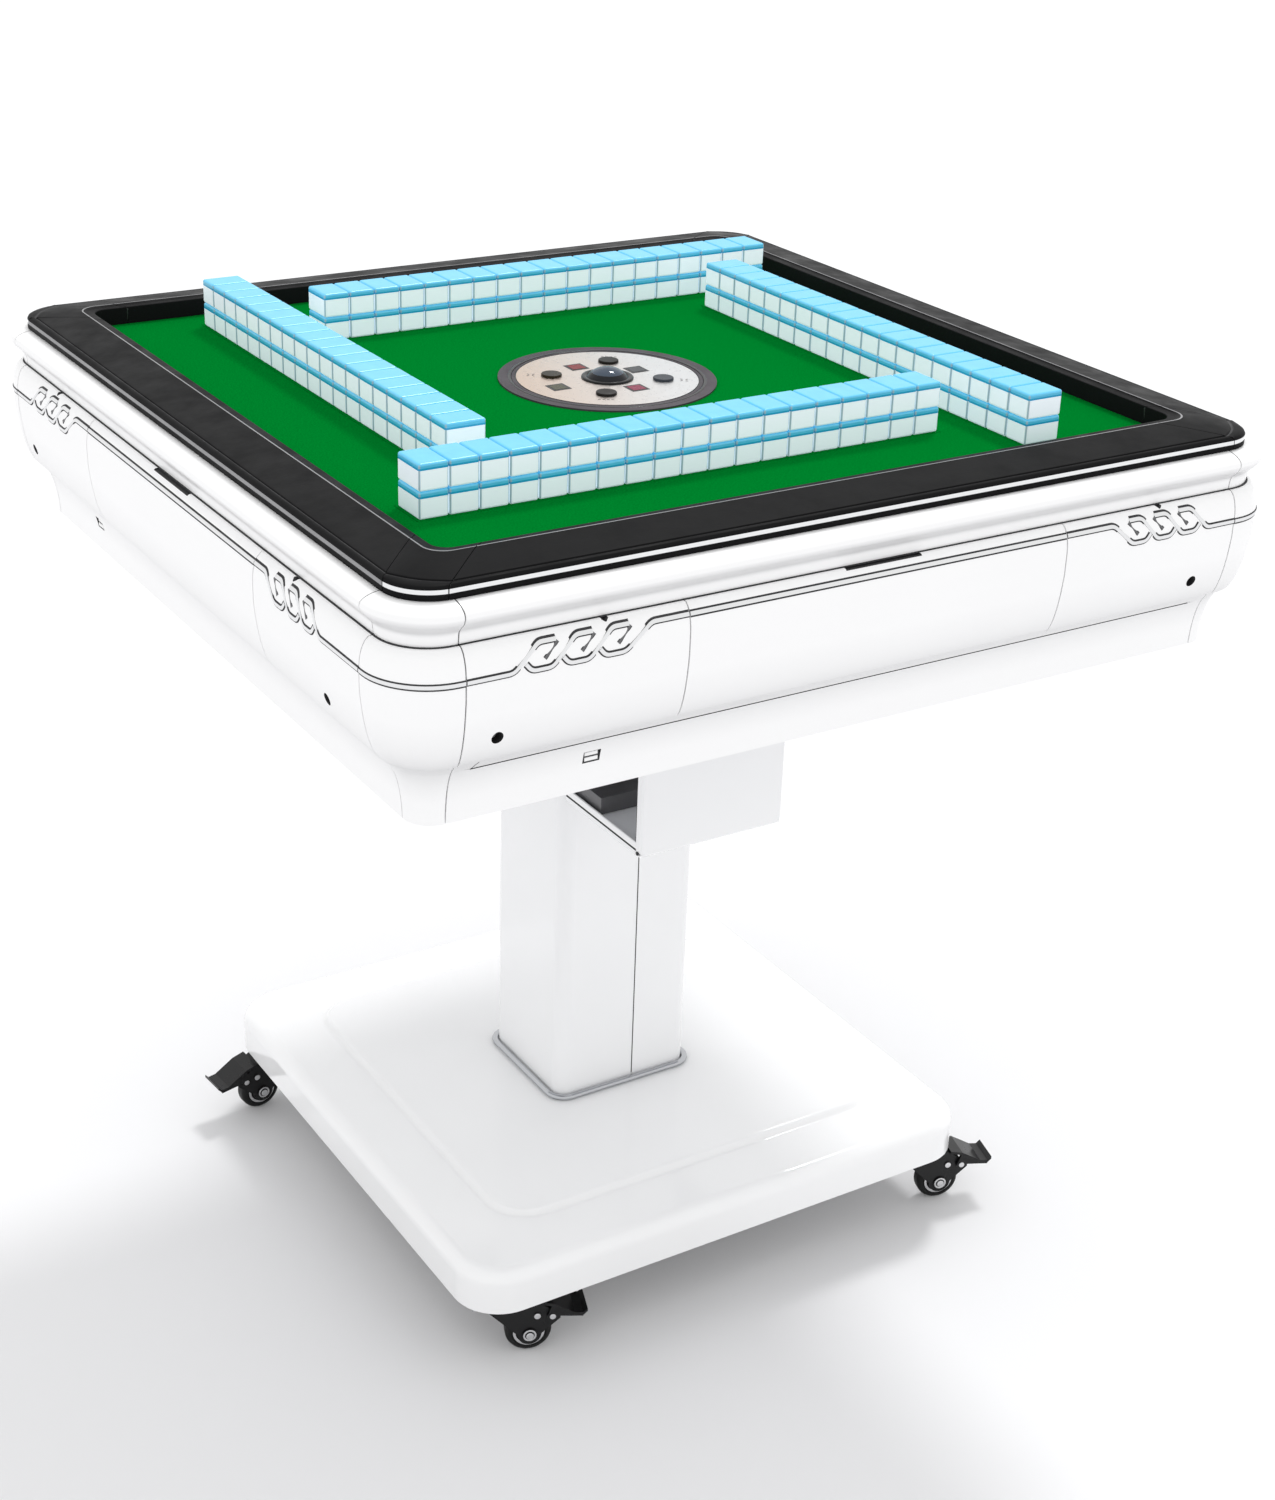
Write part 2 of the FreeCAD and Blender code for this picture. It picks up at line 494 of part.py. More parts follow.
def caster_wheel(corner):
    tyre = across("Tyre_" + corner, "wheel_radius", "wheel_wide / 2", "trail", "wheel_radius")
    doc.recompute()
    edge = doc.addObject("Part::Fillet", "TyreEdge_" + corner)
    edge.Base = tyre
    rim_edges = [i + 1 for i, e in enumerate(tyre.Shape.Edges) if e.BoundBox.YLength < size("level_play")]
    edge.Edges = [(i, size("wheel_round"), size("wheel_round")) for i in rim_edges]
    tools = [across("WheelBore_" + corner, "axle_radius + axle_fit", "wheel_wide", "trail", "wheel_radius")]
    for side, sign in (("a", ""), ("b", "-")):
        start = "%s(wheel_wide / 2 - groove_deep)" % sign
        far = "groove_deep + overrun"
        low = start if sign == "" else "%s - (%s)" % (start, far)
        ring = cut("Groove_%s_%s" % (corner, side),
                   rod("GrooveOut_%s_%s" % (corner, side), "groove_out", far, "trail", low, "wheel_radius",
                       0,
                       ALONG_Y),
                   rod("GrooveIn_%s_%s" % (corner, side), "groove_out - groove_wide", far, "trail", low,
                       "wheel_radius", 0, ALONG_Y))
        tools.append(ring)
    return settled(cut("Wheel_" + corner, edge, *tools), corner)


def caster_pedal(corner):
    """A tread with a side flange over each cheek, hung on the pin."""
    top = [("%s - pedal_back + (pedal_back + pedal_long) * %s" % (PEDAL_X, along),
            "%s + pedal_rise - (pedal_rise - pedal_end) * %s" % (PEDAL_Z,
                                                                 down)) for along, down in PEDAL_SHARES]
    low = [(x, "%s - pedal_wall" % z) for x, z in top]
    far = PEDAL_X + " + pedal_long"
    lip = [(far + " + pedal_lip", "%s + pedal_end + pedal_lip" % PEDAL_Z),
           (far + " + pedal_lip", "%s + pedal_end + pedal_lip - pedal_wall" % PEDAL_Z)]
    tread = pull("Tread_" + corner, polygons("TreadSide_" + corner, [top + lip + low[::-1]], lay=UPRIGHT),
                 PEDAL_OUT, PEDAL_OUT, Vector(0, 1, 0))
    flange = pull("Flange_" + corner, polygons("FlangeSide_" + corner, [
        [(PEDAL_X + " - pedal_hub", PEDAL_Z)] + top[1:]
        + [(far, PEDAL_Z + " - pedal_wall"), (PEDAL_X + " + pedal_hub", PEDAL_Z)]], lay=UPRIGHT),
        PEDAL_OUT, PEDAL_OUT, Vector(0, 1, 0))
    hub = across("PedalHub_" + corner, "pedal_hub", PEDAL_OUT, PEDAL_X, PEDAL_Z)
    room = slab("PedalRoom_" + corner, PEDAL_X + " - pedal_back - overrun", far + " + overrun",
                "-" + PEDAL_IN, PEDAL_IN, PEDAL_Z + " - pedal_hub - overrun", FORK_TOP + " + overrun")
    sides = cut("PedalSides_" + corner, fuse("PedalSideBlock_" + corner, flange, hub), room)
    bore = across("PedalBore_" + corner, "pedal_pin_radius + axle_fit", PEDAL_OUT + " + overrun", PEDAL_X,
                  PEDAL_Z)
    return settled(cut("Pedal_" + corner, fuse("PedalSolid_" + corner, tread, sides), bore), corner)


plates = []
for corner in CASTER_SIGNS:
    plates.append(caster_plate(corner))
    node("caster_fork_" + corner, caster_fork(corner))
    node("caster_wheel_" + corner, caster_wheel(corner))
    node("caster_pedal_" + corner, caster_pedal(corner))
node("caster_plates", group("CasterPlates", plates))

# The column: a steel post that ends in the tilt joint's barrel, inside a cover in two halves.
post_tube = cut("PostTube", prism("PostOut", "post_wide / 2", "post_deep / 2", "post_wall", FRAME_TOP,
                                  COLUMN_TOP),
                prism("PostIn", "post_wide / 2 - post_wall", "post_deep / 2 - post_wall", "post_wall / 2",
                      FRAME_TOP + " - overrun", COLUMN_TOP + " + overrun"))
post_cap = prism("PostCap", "column_wide / 2", "column_deep / 2", "column_corner", COLUMN_TOP, CAP_TOP)
post_rib = slab("PostRib", "-barrel_long / 2", "barrel_long / 2", "tilt_back - barrel_radius",
                "tilt_back + barrel_radius", CAP_TOP, TILT_Z)
barrel = rod("Barrel", "barrel_radius", "barrel_long", "-barrel_long / 2", "tilt_back", TILT_Z, 0, ALONG_X)
rest_block = slab("RestBlock", "-rest_wide / 2", "rest_wide / 2", "-column_deep / 2",
                  "rest_deep - column_deep / 2", CAP_TOP, TRAY_LOW + " - bracket_plate - rest_gap")
barrel_bore = rod("BarrelBore", "pin_radius + pin_fit", "barrel_long + 2 * overrun",
                  "-barrel_long / 2 - overrun", "tilt_back", TILT_Z, 0, ALONG_X)
node("column_post", cut("ColumnPost", fuse("PostSolid", post_tube, post_cap, post_rib, barrel, rest_block),
                        barrel_bore))

for side, x0, x1 in (("left", "-column_wide", "seam_side - seam_gap / 2"),
                     ("right", "seam_side + seam_gap / 2", "column_wide")):
    tube = cut("ShellTube_" + side,
               prism("ShellOut_" + side, "column_wide / 2", "column_deep / 2", "column_corner", PANEL_TOP,
                     COLUMN_TOP),
               prism("ShellIn_" + side, "column_wide / 2 - column_wall", "column_deep / 2 - column_wall",
                     "column_corner - column_wall", PANEL_TOP + " - overrun", COLUMN_TOP + " + overrun"))
    half = slab("ShellHalf_" + side, x0, x1, "-column_deep", "column_deep", PANEL_TOP + " - overrun",
                COLUMN_TOP + " + overrun")
    node("column_shell_" + side, common("ColumnShell_" + side, tube, half))

# The tilt joint's upper half: a bracket under the body and the pin that joins it to the barrel.
CHEEK_X = "(barrel_long / 2 + cheek_gap)"
bracket_plate = slab("BracketPlate", "-(%s + cheek_wall + bracket_side)" % CHEEK_X,
                     CHEEK_X + " + cheek_wall + bracket_side", "bracket_front_gap - " + LOCK_BACK,
                     "tilt_back + barrel_radius + bracket_tail", TRAY_LOW + " - bracket_plate", TRAY_LOW)
bracket_parts = [bracket_plate]
for side, x0 in (("left", "-(%s + cheek_wall)" % CHEEK_X), ("right", CHEEK_X)):
    bracket_parts.append(slab("BracketCheek_" + side, x0, x0 + " + cheek_wall", "tilt_back - barrel_radius",
                              "tilt_back + barrel_radius", TILT_Z, TRAY_LOW + " - bracket_plate"))
    bracket_parts.append(rod("BracketEye_" + side, "barrel_radius", "cheek_wall", x0, "tilt_back", TILT_Z,
                             0,
                             ALONG_X))
PIN_HALF = "(%s + cheek_wall)" % CHEEK_X
bracket_bore = rod("BracketBore", "pin_radius + pin_fit", "2 * (%s + overrun)" % PIN_HALF,
                   "-(%s + overrun)" % PIN_HALF, "tilt_back", TILT_Z, 0, ALONG_X)
node("tilt_bracket", cut("TiltBracket", fuse("BracketSolid", *bracket_parts), bracket_bore))
pin_shank = rod("PinShank", "pin_radius", "2 * " + PIN_HALF, "-" + PIN_HALF, "tilt_back", TILT_Z, 0,
                ALONG_X)
pin_heads = [rod("PinHead_" + side, "pin_head_radius", "pin_head", x, "tilt_back", TILT_Z, 0, ALONG_X)
             for side, x in (("left", "-(%s + pin_head)" % PIN_HALF), ("right", PIN_HALF))]
node("tilt_pin", fuse("TiltPin", pin_shank, *pin_heads))

# The lock box in front of the column, open at its sides, with the lever that holds the top level.
LOCK_LOW = "(%s - lock_tall)" % TRAY_LOW
LEVER_Y = "(-column_deep / 2 - lever_set)"
LEVER_Z = "(%s - lever_drop)" % TRAY_LOW
lock_parts = [
    slab("LockFront", "-lock_wide / 2", "lock_wide / 2", "-" + LOCK_FRONT, "lock_sheet - " + LOCK_FRONT,
         LOCK_LOW, TRAY_LOW),
    slab("LockBottom", "-lock_wide / 2", "lock_wide / 2", "-" + LOCK_FRONT, "-" + LOCK_BACK, LOCK_LOW,
         LOCK_LOW + " + lock_sheet"),
    slab("LockTop", "-lock_wide / 2", "lock_wide / 2", "-" + LOCK_FRONT, "-" + LOCK_BACK,
         TRAY_LOW + " - lock_sheet", TRAY_LOW),
    rod("LeverPin", "lever_pin", "lever_wide + 2 * lever_side_gap", "-lever_wide / 2 - lever_side_gap",
        LEVER_Y,
        LEVER_Z, 0, ALONG_X)]
for side, x0, cheek_x in (("left", "-lock_wide / 2", "-lever_wide / 2 - lever_side_gap - lever_cheek"),
                          ("right", "lock_wide / 2 - lock_sheet", "lever_wide / 2 + lever_side_gap")):
    lock_parts.append(slab("LockLip_" + side, x0, x0 + " + lock_sheet", "-" + LOCK_FRONT, "-" + LOCK_BACK,
                           LOCK_LOW, LOCK_LOW + " + lock_lip"))
    lock_parts.append(slab("LeverCheek_" + side, cheek_x, cheek_x + " + lever_cheek",
                           LEVER_Y + " - lever_cheek_deep / 2", LEVER_Y + " + lever_cheek_deep / 2",
                           TRAY_LOW + " - lever_cheek_tall", TRAY_LOW))
node("lock_box", fuse("LockBox", *lock_parts))
lever_bar = box("LeverBar", "lever_wide", "lever_thick", "lever_long", "0", LEVER_Y,
                LEVER_Z + " - lever_long")
lever_hub = rod("LeverHub", "lever_hub", "lever_wide", "-lever_wide / 2", LEVER_Y, LEVER_Z, 0, ALONG_X)
lever_pad = slab("LeverPad", "-lever_wide / 2", "lever_wide / 2", LEVER_Y,
                 "-column_deep / 2 - lever_pad_gap", LEVER_Z + " - lever_long",
                 LEVER_Z + " - lever_long + lever_pad")
lever_bore = rod("LeverBore", "lever_pin + lever_fit", "lever_wide + 2 * overrun",
                 "-lever_wide / 2 - overrun",
                 LEVER_Y, LEVER_Z, 0, ALONG_X)
node("lock_lever", cut("LockLever", fuse("LeverSolid", lever_bar, lever_hub, lever_pad), lever_bore))

# The body's tray: a floor, a wall of strips and corner posts, drawer runners and guides of the tile lifts.
LEG_FAR = "(%s / 2 - leg_in)" % ROW_LONG
STRAIGHT = "(tray_half - tray_corner)"
HOLE_HALF = "(drawer_box_half + drawer_clear)"
HOLE_LOW = "(%s - runner_gap)" % DRAWER_LOW
HOLE_HIGH = "(%s + drawer_tall + drawer_clear)" % DRAWER_LOW
tray_floor = cut("TrayFloor", square("TrayFloorBlock", "tray_half", "tray_corner", TRAY_LOW, TRAY_TOP),
                 box("InletHole", "inlet_wide + 2 * inlet_fit", "inlet_tall + 2 * inlet_fit",
                     "tray_floor + 2 * overrun", "0", "inlet_place", TRAY_LOW + " - overrun"))
tray_wall = cut("TrayWall", square("TrayOut", "tray_half", "tray_corner", TRAY_TOP, BOARD_LOW),
                square("TrayIn", "tray_half - tray_wall", "tray_corner - tray_wall",
                       TRAY_TOP + " - overrun",
                       BOARD_LOW + " + overrun"))
tray_parts = [tray_floor]
for quarter in QUARTERS:
    strips = (("Sill", "-" + STRAIGHT, STRAIGHT, TRAY_TOP, HOLE_LOW),
              ("Lintel", "-" + STRAIGHT, STRAIGHT, HOLE_HIGH, BOARD_LOW),
              ("LeftPost", "-" + STRAIGHT, "-" + HOLE_HALF, HOLE_LOW, HOLE_HIGH),
              ("RightPost", HOLE_HALF, STRAIGHT, HOLE_LOW, HOLE_HIGH))
    for name, x0, x1, low, high in strips:
        tray_parts.append(slab("%s%d" % (name, quarter), x0, x1, "-tray_half", "tray_wall - tray_half", low,
                               high, quarter))
    tray_parts.append(common("TrayCorner%d" % quarter, tray_wall, slab(
        "TrayCornerRoom%d" % quarter, STRAIGHT, "tray_half + overrun", STRAIGHT, "tray_half + overrun",
        TRAY_TOP + " - overrun", BOARD_LOW + " + overrun", quarter)))
    for number, sign in enumerate(("-", "")):
        x0 = "(%s(drawer_box_half - runner_wide / 2) - runner_wide / 2)" % sign
        tray_parts.append(slab("Runner%d_%d" % (quarter, number), x0, x0 + " + runner_wide",
                               "tray_wall - tray_half", "drawer_deep - " + SHELL_IN,
                               HOLE_LOW + " - runner_tall", HOLE_LOW, quarter))
        leg_x = "%s + %s%s" % (LIFT_X, sign, LEG_FAR)
        guide = box("GuideBlock%d_%d" % (quarter, number), "leg_wide + 2 * (guide_gap + guide_wall)",
                    "leg_thick + 2 * (guide_gap + guide_wall)", "guide_tall", leg_x, LIFT_Y, TRAY_TOP,
                    quarter)
        tray_parts.append(cut("Guide%d_%d" % (quarter, number), guide, box(
            "GuideBore%d_%d" % (quarter, number), "leg_wide + 2 * guide_gap", "leg_thick + 2 * guide_gap",
            "guide_tall + 2 * overrun", leg_x, LIFT_Y, TRAY_TOP + " - overrun", quarter)))
node("chassis_tray", group("ChassisTray", tray_parts))

inlet_block = fuse("InletBlock", box("InletCase", "inlet_wide", "inlet_tall", "inlet_deep", "0",
                                     "inlet_place",
                                     TRAY_LOW),
                   box("InletFlange", "inlet_wide + 2 * inlet_flange", "inlet_tall + 2 * inlet_flange",
                       "inlet_flange_thick", "0", "inlet_place", TRAY_LOW + " - inlet_flange_thick"))
inlet_cup = cut("InletCup", inlet_block, box(
    "InletRecess", "inlet_wide - 2 * inlet_wall", "inlet_tall - 2 * inlet_wall",
    "inlet_deep - inlet_wall + inlet_flange_thick + overrun", "0", "inlet_place",
    TRAY_LOW + " - inlet_flange_thick - overrun"))
inlet_pins = [rod("InletPin%d" % i, "inlet_pin", "inlet_deep", x, "inlet_place", TRAY_LOW)
              for i, x in enumerate(("-inlet_pin_pitch", "0", "inlet_pin_pitch"))]
node("power_inlet", fuse("PowerInlet", inlet_cup, *inlet_pins))

# Body shells: fascia and skirt in one moulding, split into four sides and four corners.
fascia = loft("Fascia", profile(FASCIA_SHARES, FASCIA_LOW, "fascia_tall", "body_half", "fascia_bulge"))
SKIRT_TOP_HALF = "body_half - fascia_bulge - fascia_step"
skirt = loft("Skirt", [("%s + skirt_tall * %s" % (TRAY_LOW, up),
                        "%s - skirt_lean * %s" % (SKIRT_TOP_HALF, inward),
                        "body_corner - fascia_bulge - skirt_lean * %s" % inward)
                       for up, inward in SKIRT_SHARES])
shell_hollow = fuse("ShellHollow",
                    square("ShellBore", INNER_HALF, INNER_CORNER, TRAY_LOW + " - overrun",
                           FASCIA_TOP + " + overrun"),
                    square("ShellRoom", SHELL_IN, "body_corner - fascia_bulge - shell_thick",
                           FASCIA_LOW + " + shell_rim", FASCIA_TOP + " - shell_rim"))
shell_ring = cut("ShellRing", fuse("ShellSolid", fascia, skirt), shell_hollow)


def side_blocks(name, half, low, high):
    """Four blocks that each take in one side of the body up to its corner seams."""
    return group(name, [slab("%s%d" % (name, quarter), "-(%s)" % half, half, "-body_half - 2 * overrun",
                             "-tray_half / 2", low, high, quarter) for quarter in QUARTERS])


shell_low = TRAY_LOW + " - overrun"
shell_high = FASCIA_TOP + " + overrun"
shell_tools = []
screw_items = []
socket_items = []
FASCIA_FACE = "(body_half - fascia_bulge * %s)" % SCREW_INSET_SHARE
SOCKET_Y = "(%s - skirt_lean * %s - socket_sink)" % (SKIRT_TOP_HALF, SOCKET_INSET_SHARE)
SOCKET_BACK = "(%s - socket_deep)" % SOCKET_Y
for quarter in QUARTERS:
    shell_tools.append(slab("FrontHole%d" % quarter, "-drawer_half - drawer_gap",
                            "drawer_half + drawer_gap",
                            "-body_half - overrun", "-tray_half", FASCIA_LOW, FASCIA_TOP + " + overrun",
                            quarter))
    shell_tools.append(box("SocketRoom%d" % quarter, "socket_wide + 2 * socket_fit",
                           "socket_deep + 2 * overrun",
                           "socket_tall + 2 * socket_fit", "-socket_place",
                           "-%s - socket_deep / 2 - overrun" % SOCKET_BACK,
                           TRAY_LOW + " + socket_level - socket_fit", quarter))
    case = slab("SocketCase%d" % quarter, "-socket_place - socket_wide / 2",
                "socket_wide / 2 - socket_place",
                "-" + SOCKET_Y, "-" + SOCKET_BACK, TRAY_LOW + " + socket_level",
                TRAY_LOW + " + socket_level + socket_tall", quarter)
    SLOT_TALL = "((socket_tall - 3 * socket_wall) / 2)"
    slots = [slab("SocketSlot%d_%d" % (quarter, i), "-socket_place - socket_wide / 2 + socket_wall",
                  "socket_wide / 2 - socket_place - socket_wall", "-%s - overrun" % SOCKET_Y,
                  "-%s - socket_wall" % SOCKET_BACK,
                  "%s + socket_level + socket_wall + %d * (%s + socket_wall)" % (TRAY_LOW, i, SLOT_TALL),
                  "%s + socket_level + socket_wall + %d * (%s + socket_wall) + %s"
                  % (TRAY_LOW, i, SLOT_TALL, SLOT_TALL), quarter) for i in (0, 1)]
    socket_items.append(cut("Socket%d" % quarter, case, *slots))
    for number, sign in enumerate(("-", "")):
        spot = "%s(seam_place - screw_inset)" % sign
        level = FASCIA_LOW + " + screw_level"
        shell_tools.append(rod("ScrewHole%d_%d" % (quarter, number), "screw_hole",
                               "body_half + overrun - " + SHELL_IN, spot, "-body_half - overrun", level,
                               quarter, ALONG_Y))
        shell_tools.append(box("Notch%d_%d" % (quarter, number), "notch_wide", "2 * overrun + notch_deep",
                               "notch_tall + overrun", sign + "notch_place",
                               "fascia_bulge * %s - body_half + notch_deep / 2 - overrun"
                               % NOTCH_INSET_SHARE,
                               FASCIA_TOP + " - notch_tall", quarter))
        head = rod("ScrewHead%d_%d" % (quarter, number), "screw_hole - screw_fit", "screw_head", spot,
                   "screw_sink - " + FASCIA_FACE, level, quarter, ALONG_Y)
        shank = rod("ScrewShank%d_%d" % (quarter, number), "screw_shank",
                    FASCIA_FACE + " - screw_sink - tray_half", spot, "screw_sink - " + FASCIA_FACE, level,
                    quarter, ALONG_Y)
        screw_items.append(fuse("Screw%d_%d" % (quarter, number), head, shank))
shell_cut = cut("ShellCut", shell_ring, *shell_tools)
node("side_shells", common("SideShells", shell_cut, side_blocks("ShellSideBlock", "seam_place", shell_low,
                                                               shell_high)))
node("shell_corners", cut("ShellCorners", shell_cut, side_blocks("ShellCornerBlock",
                                                                 "seam_place + seam_gap",
                                                                shell_low, shell_high)))
node("shell_screws", group("ShellScrews", screw_items))
node("usb_sockets", group("UsbSockets", socket_items))

# Silver trim that follows the fascia: a low line round the corners, three loops, a high line inwards.
grown = loft("GrownFascia", profile(FASCIA_SHARES, FASCIA_LOW, "fascia_tall", "body_half + trim_proud",
                                    "fascia_bulge"))
TRIM_SHARES = FASCIA_SHARES[TRIM_FIRST:TRIM_LAST]
trim_skin = cut("TrimSkin",
                loft("TrimOver", profile(TRIM_SHARES, FASCIA_LOW, "fascia_tall", "body_half + trim_proud",
                                         "fascia_bulge")),
                loft("TrimUnder", profile(TRIM_SHARES, FASCIA_LOW, "fascia_tall", "body_half",
                                          "fascia_bulge")))


def loop_outlines(sign):
    """Three leaning loops, each an outline with its hole, as corners in size expressions."""
    outlines = []
    for i in range(LOOP_COUNT):
        start = "seam_place - loop_inset - %d * loop_pitch" % i
        for inset in ("0", "loop_line"):
            low = "%s + loop_low + %s" % (FASCIA_LOW, inset)
            high = "%s + loop_low + loop_tall - %s" % (FASCIA_LOW, inset)
            lean = "loop_lean * (%s) / loop_tall" % inset
            corners = (("(%s) - %s - %s" % (start, inset, lean), low),
                       ("(%s) - loop_wide + %s - %s" % (start, inset, lean), low),
                       ("(%s) - loop_wide + %s - loop_lean + %s" % (start, inset, lean), high),
                       ("(%s) - %s - loop_lean + %s" % (start, inset, lean), high))
            outlines.append([("%s(%s)" % (sign, x), z) for x, z in corners])
    return outlines


def trim_bar(name, x0, x1, y1, level):
    """A block that cuts one straight stretch of line out of the trim's skin."""
    low = "%s + %s" % (FASCIA_LOW, level)
    return slab(name, x0, x1, "-body_half - overrun", y1, low, low + " + trim_tall")


LOOP_LAST = ("(seam_place - loop_inset - %d * loop_pitch - loop_wide - loop_lean + loop_line)"
             % (LOOP_COUNT - 1))
side_bars = [trim_bar("LowBarLeft", "-seam_place", "trim_end - seam_place", "-" + SHELL_IN, "trim_low"),
             trim_bar("LowBarRight", "seam_place - trim_end", "seam_place", "-" + SHELL_IN, "trim_low"),
             trim_bar("HighBarLeft", "-" + LOOP_LAST, "-drawer_half - drawer_gap", "-" + SHELL_IN,
                      "trim_high"),
             trim_bar("HighBarRight", "drawer_half + drawer_gap", LOOP_LAST, "-" + SHELL_IN, "trim_high")]
for name, sign in (("Left", "-"), ("Right", "")):
    side_bars.append(pull("Loops" + name, polygons("LoopLines" + name, loop_outlines(sign), lay=UPRIGHT),
                          "body_half + overrun", "0", Vector(0, -1, 0)))
side_trim = common("SideTrim", fuse("SideBars", *side_bars), trim_skin)
corner_trim = common("CornerTrim", trim_bar("CornerBar", "seam_place + seam_gap", "body_half + overrun",
                                            "-seam_place - seam_gap", "trim_low"), trim_skin)
trims = [place(group("Trim%d" % quarter, [side_trim, corner_trim]),
               quarter=quarter) for quarter in QUARTERS]
node("trim_strips", group("TrimStrips", trims))

# Drawers: the middle of each fascia is the drawer's front, with a finger slot in its top edge.
for quarter, side in enumerate(SIDES):
    front_block = slab("DrawerBlock_" + side, "-drawer_half", "drawer_half", "-body_half - overrun",
                       "-" + SHELL_IN, FASCIA_LOW + " + drawer_gap", FASCIA_TOP, quarter)
    front = common("DrawerFront_" + side, fascia, front_block)
    bead = common("DrawerBead_" + side, grown, slab(
        "DrawerBeadBlock_" + side, "-drawer_half", "drawer_half", "-body_half - overrun", "-" + SHELL_IN,
        FASCIA_LOW + " + trim_high", FASCIA_LOW + " + trim_high + trim_tall", quarter))
    tub = cut("DrawerTub_" + side,
              slab("DrawerTubOut_" + side, "-drawer_box_half", "drawer_box_half", "-" + SHELL_IN,
                   "drawer_deep - " + SHELL_IN, DRAWER_LOW, DRAWER_LOW + " + drawer_tall", quarter),
              slab("DrawerTubIn_" + side, "drawer_wall - drawer_box_half", "drawer_box_half - drawer_wall",
                   "drawer_wall - " + SHELL_IN, "drawer_deep - drawer_wall - " + SHELL_IN,
                   DRAWER_LOW + " + drawer_wall", DRAWER_LOW + " + drawer_tall + overrun", quarter))
    finger = slab("FingerSlot_" + side, "-finger_half", "finger_half", "-body_half - overrun",
                  "finger_deep - body_half", FASCIA_TOP + " - finger_tall", FASCIA_TOP + " + overrun",
                  quarter)
    node("drawer_" + side, cut("Drawer_" + side, fuse("DrawerSolid_" + side, front, bead, tub), finger))

# The upper band, the top board and its felt, and the rail that covers their edge.
band_block = loft("BandBlock", profile(BAND_SHARES, BAND_LOW, "band_tall", "body_half - band_nose",
                                       "band_bulge"))
band_hollow = fuse("BandHollow",
                   square("BandLowHole", INNER_HALF, INNER_CORNER, BAND_LOW + " - overrun",
                          BOARD_LOW + " + overrun"),
                   square("BandHighHole", BOARD_HALF, "board_corner + board_fit", BOARD_LOW,
                          FELT_TOP + " + overrun"))
band_ring = cut("BandRing", band_block, band_hollow)
band_low = BAND_LOW + " - overrun"
band_high = FELT_TOP + " + overrun"
node("frame_bands", common("FrameBands", band_ring, side_blocks("BandSideBlock", "seam_place", band_low,
                                                               band_high)))
node("frame_corners", cut("FrameCorners", band_ring, side_blocks("BandCornerBlock", "seam_place + seam_gap",
                                                                band_low, band_high)))


def lift_slots(name, low, high):
    """The four slots that the tile lifts rise through."""
    return [box("%s%d" % (name, quarter), ROW_LONG + " + 2 * (lift_margin + lift_gap)",
                "tile_long + 2 * (lift_margin + lift_gap)", "(%s) - (%s)" % (high,
                                                                             low), LIFT_X, LIFT_Y, low,
                quarter) for quarter in QUARTERS]


for name, low, high in (("top_board", BOARD_LOW, BOARD_TOP), ("felt", BOARD_TOP, FELT_TOP)):
    sheet_block = square(name + "_block", BOARD_IN, "board_corner", low, high)
    hole = rod(name + "_hole", "sleeve_radius + sleeve_fit", "%s - %s + 2 * overrun" % (high, low),
               z=low + " - overrun")
    slots = lift_slots(name + "_slot", low + " - overrun", high + " + overrun")
    node(name, cut(name + "_sheet", sheet_block, hole, *slots))

rail_sections = [(FELT_TOP, RAIL_HALF, "rail_corner")]
for up, inward in RAIL_ROLL_SHARES:
    rail_sections.append(("%s + rail_edge + rail_roll * %s" % (FELT_TOP, up),
                          "%s - rail_roll * %s" % (RAIL_HALF,
                                                   inward), "rail_corner - rail_roll * %s" % inward))
rail_sections.append((FELT_TOP + " + rail_tall", RAIL_OPEN + " + rail_inner_band",
                      "rail_open_corner + rail_inner_band"))
rail_hollow = fuse("RailHollow",
                   square("RailOpening", RAIL_OPEN, "rail_open_corner", FELT_TOP + " - overrun",
                          FELT_TOP + " + rail_tall + overrun"),
                   square("RailStep", RAIL_OPEN + " + rail_inner_band - rail_step",
                          "rail_open_corner + rail_inner_band - rail_step",
                          FELT_TOP + " + rail_tall - rail_step", FELT_TOP + " + rail_tall + overrun"))
rail_ring = cut("RailRing", loft("RailBlock", rail_sections), rail_hollow)


def rail_wedges(name, gap):
    """Four blocks with slanted ends that each take in one straight rail."""
    blocks = []
    outer = "(%s - rail_seam_out + %s)" % (RAIL_HALF, gap)
    inner = "(%s - rail_seam_in + %s)" % (RAIL_OPEN, gap)
    run = "((%s - %s) / rail_wide)" % (outer, inner)
    far = "(%s + overrun)" % RAIL_HALF
    near = "(%s - overrun)" % RAIL_OPEN
    wide = "(%s + overrun * %s)" % (outer, run)
    slim = "(%s - overrun * %s)" % (inner, run)
    for quarter in QUARTERS:
        points = [("-" + wide, "-" + far), (wide, "-" + far), (slim, "-" + near), ("-" + slim, "-" + near)]
        sketch = polygons("%sOutline%d" % (name, quarter), [points], z=FELT_TOP + " - overrun",
                          quarter=quarter)
        blocks.append(pull("%s%d" % (name, quarter), sketch, "rail_tall + 2 * overrun"))
    return group(name, blocks)


node("rails", common("Rails", rail_ring, rail_wedges("RailWedge", "0")))
node("rail_corners", cut("RailCorners", rail_ring, rail_wedges("RailGap", "seam_gap")))

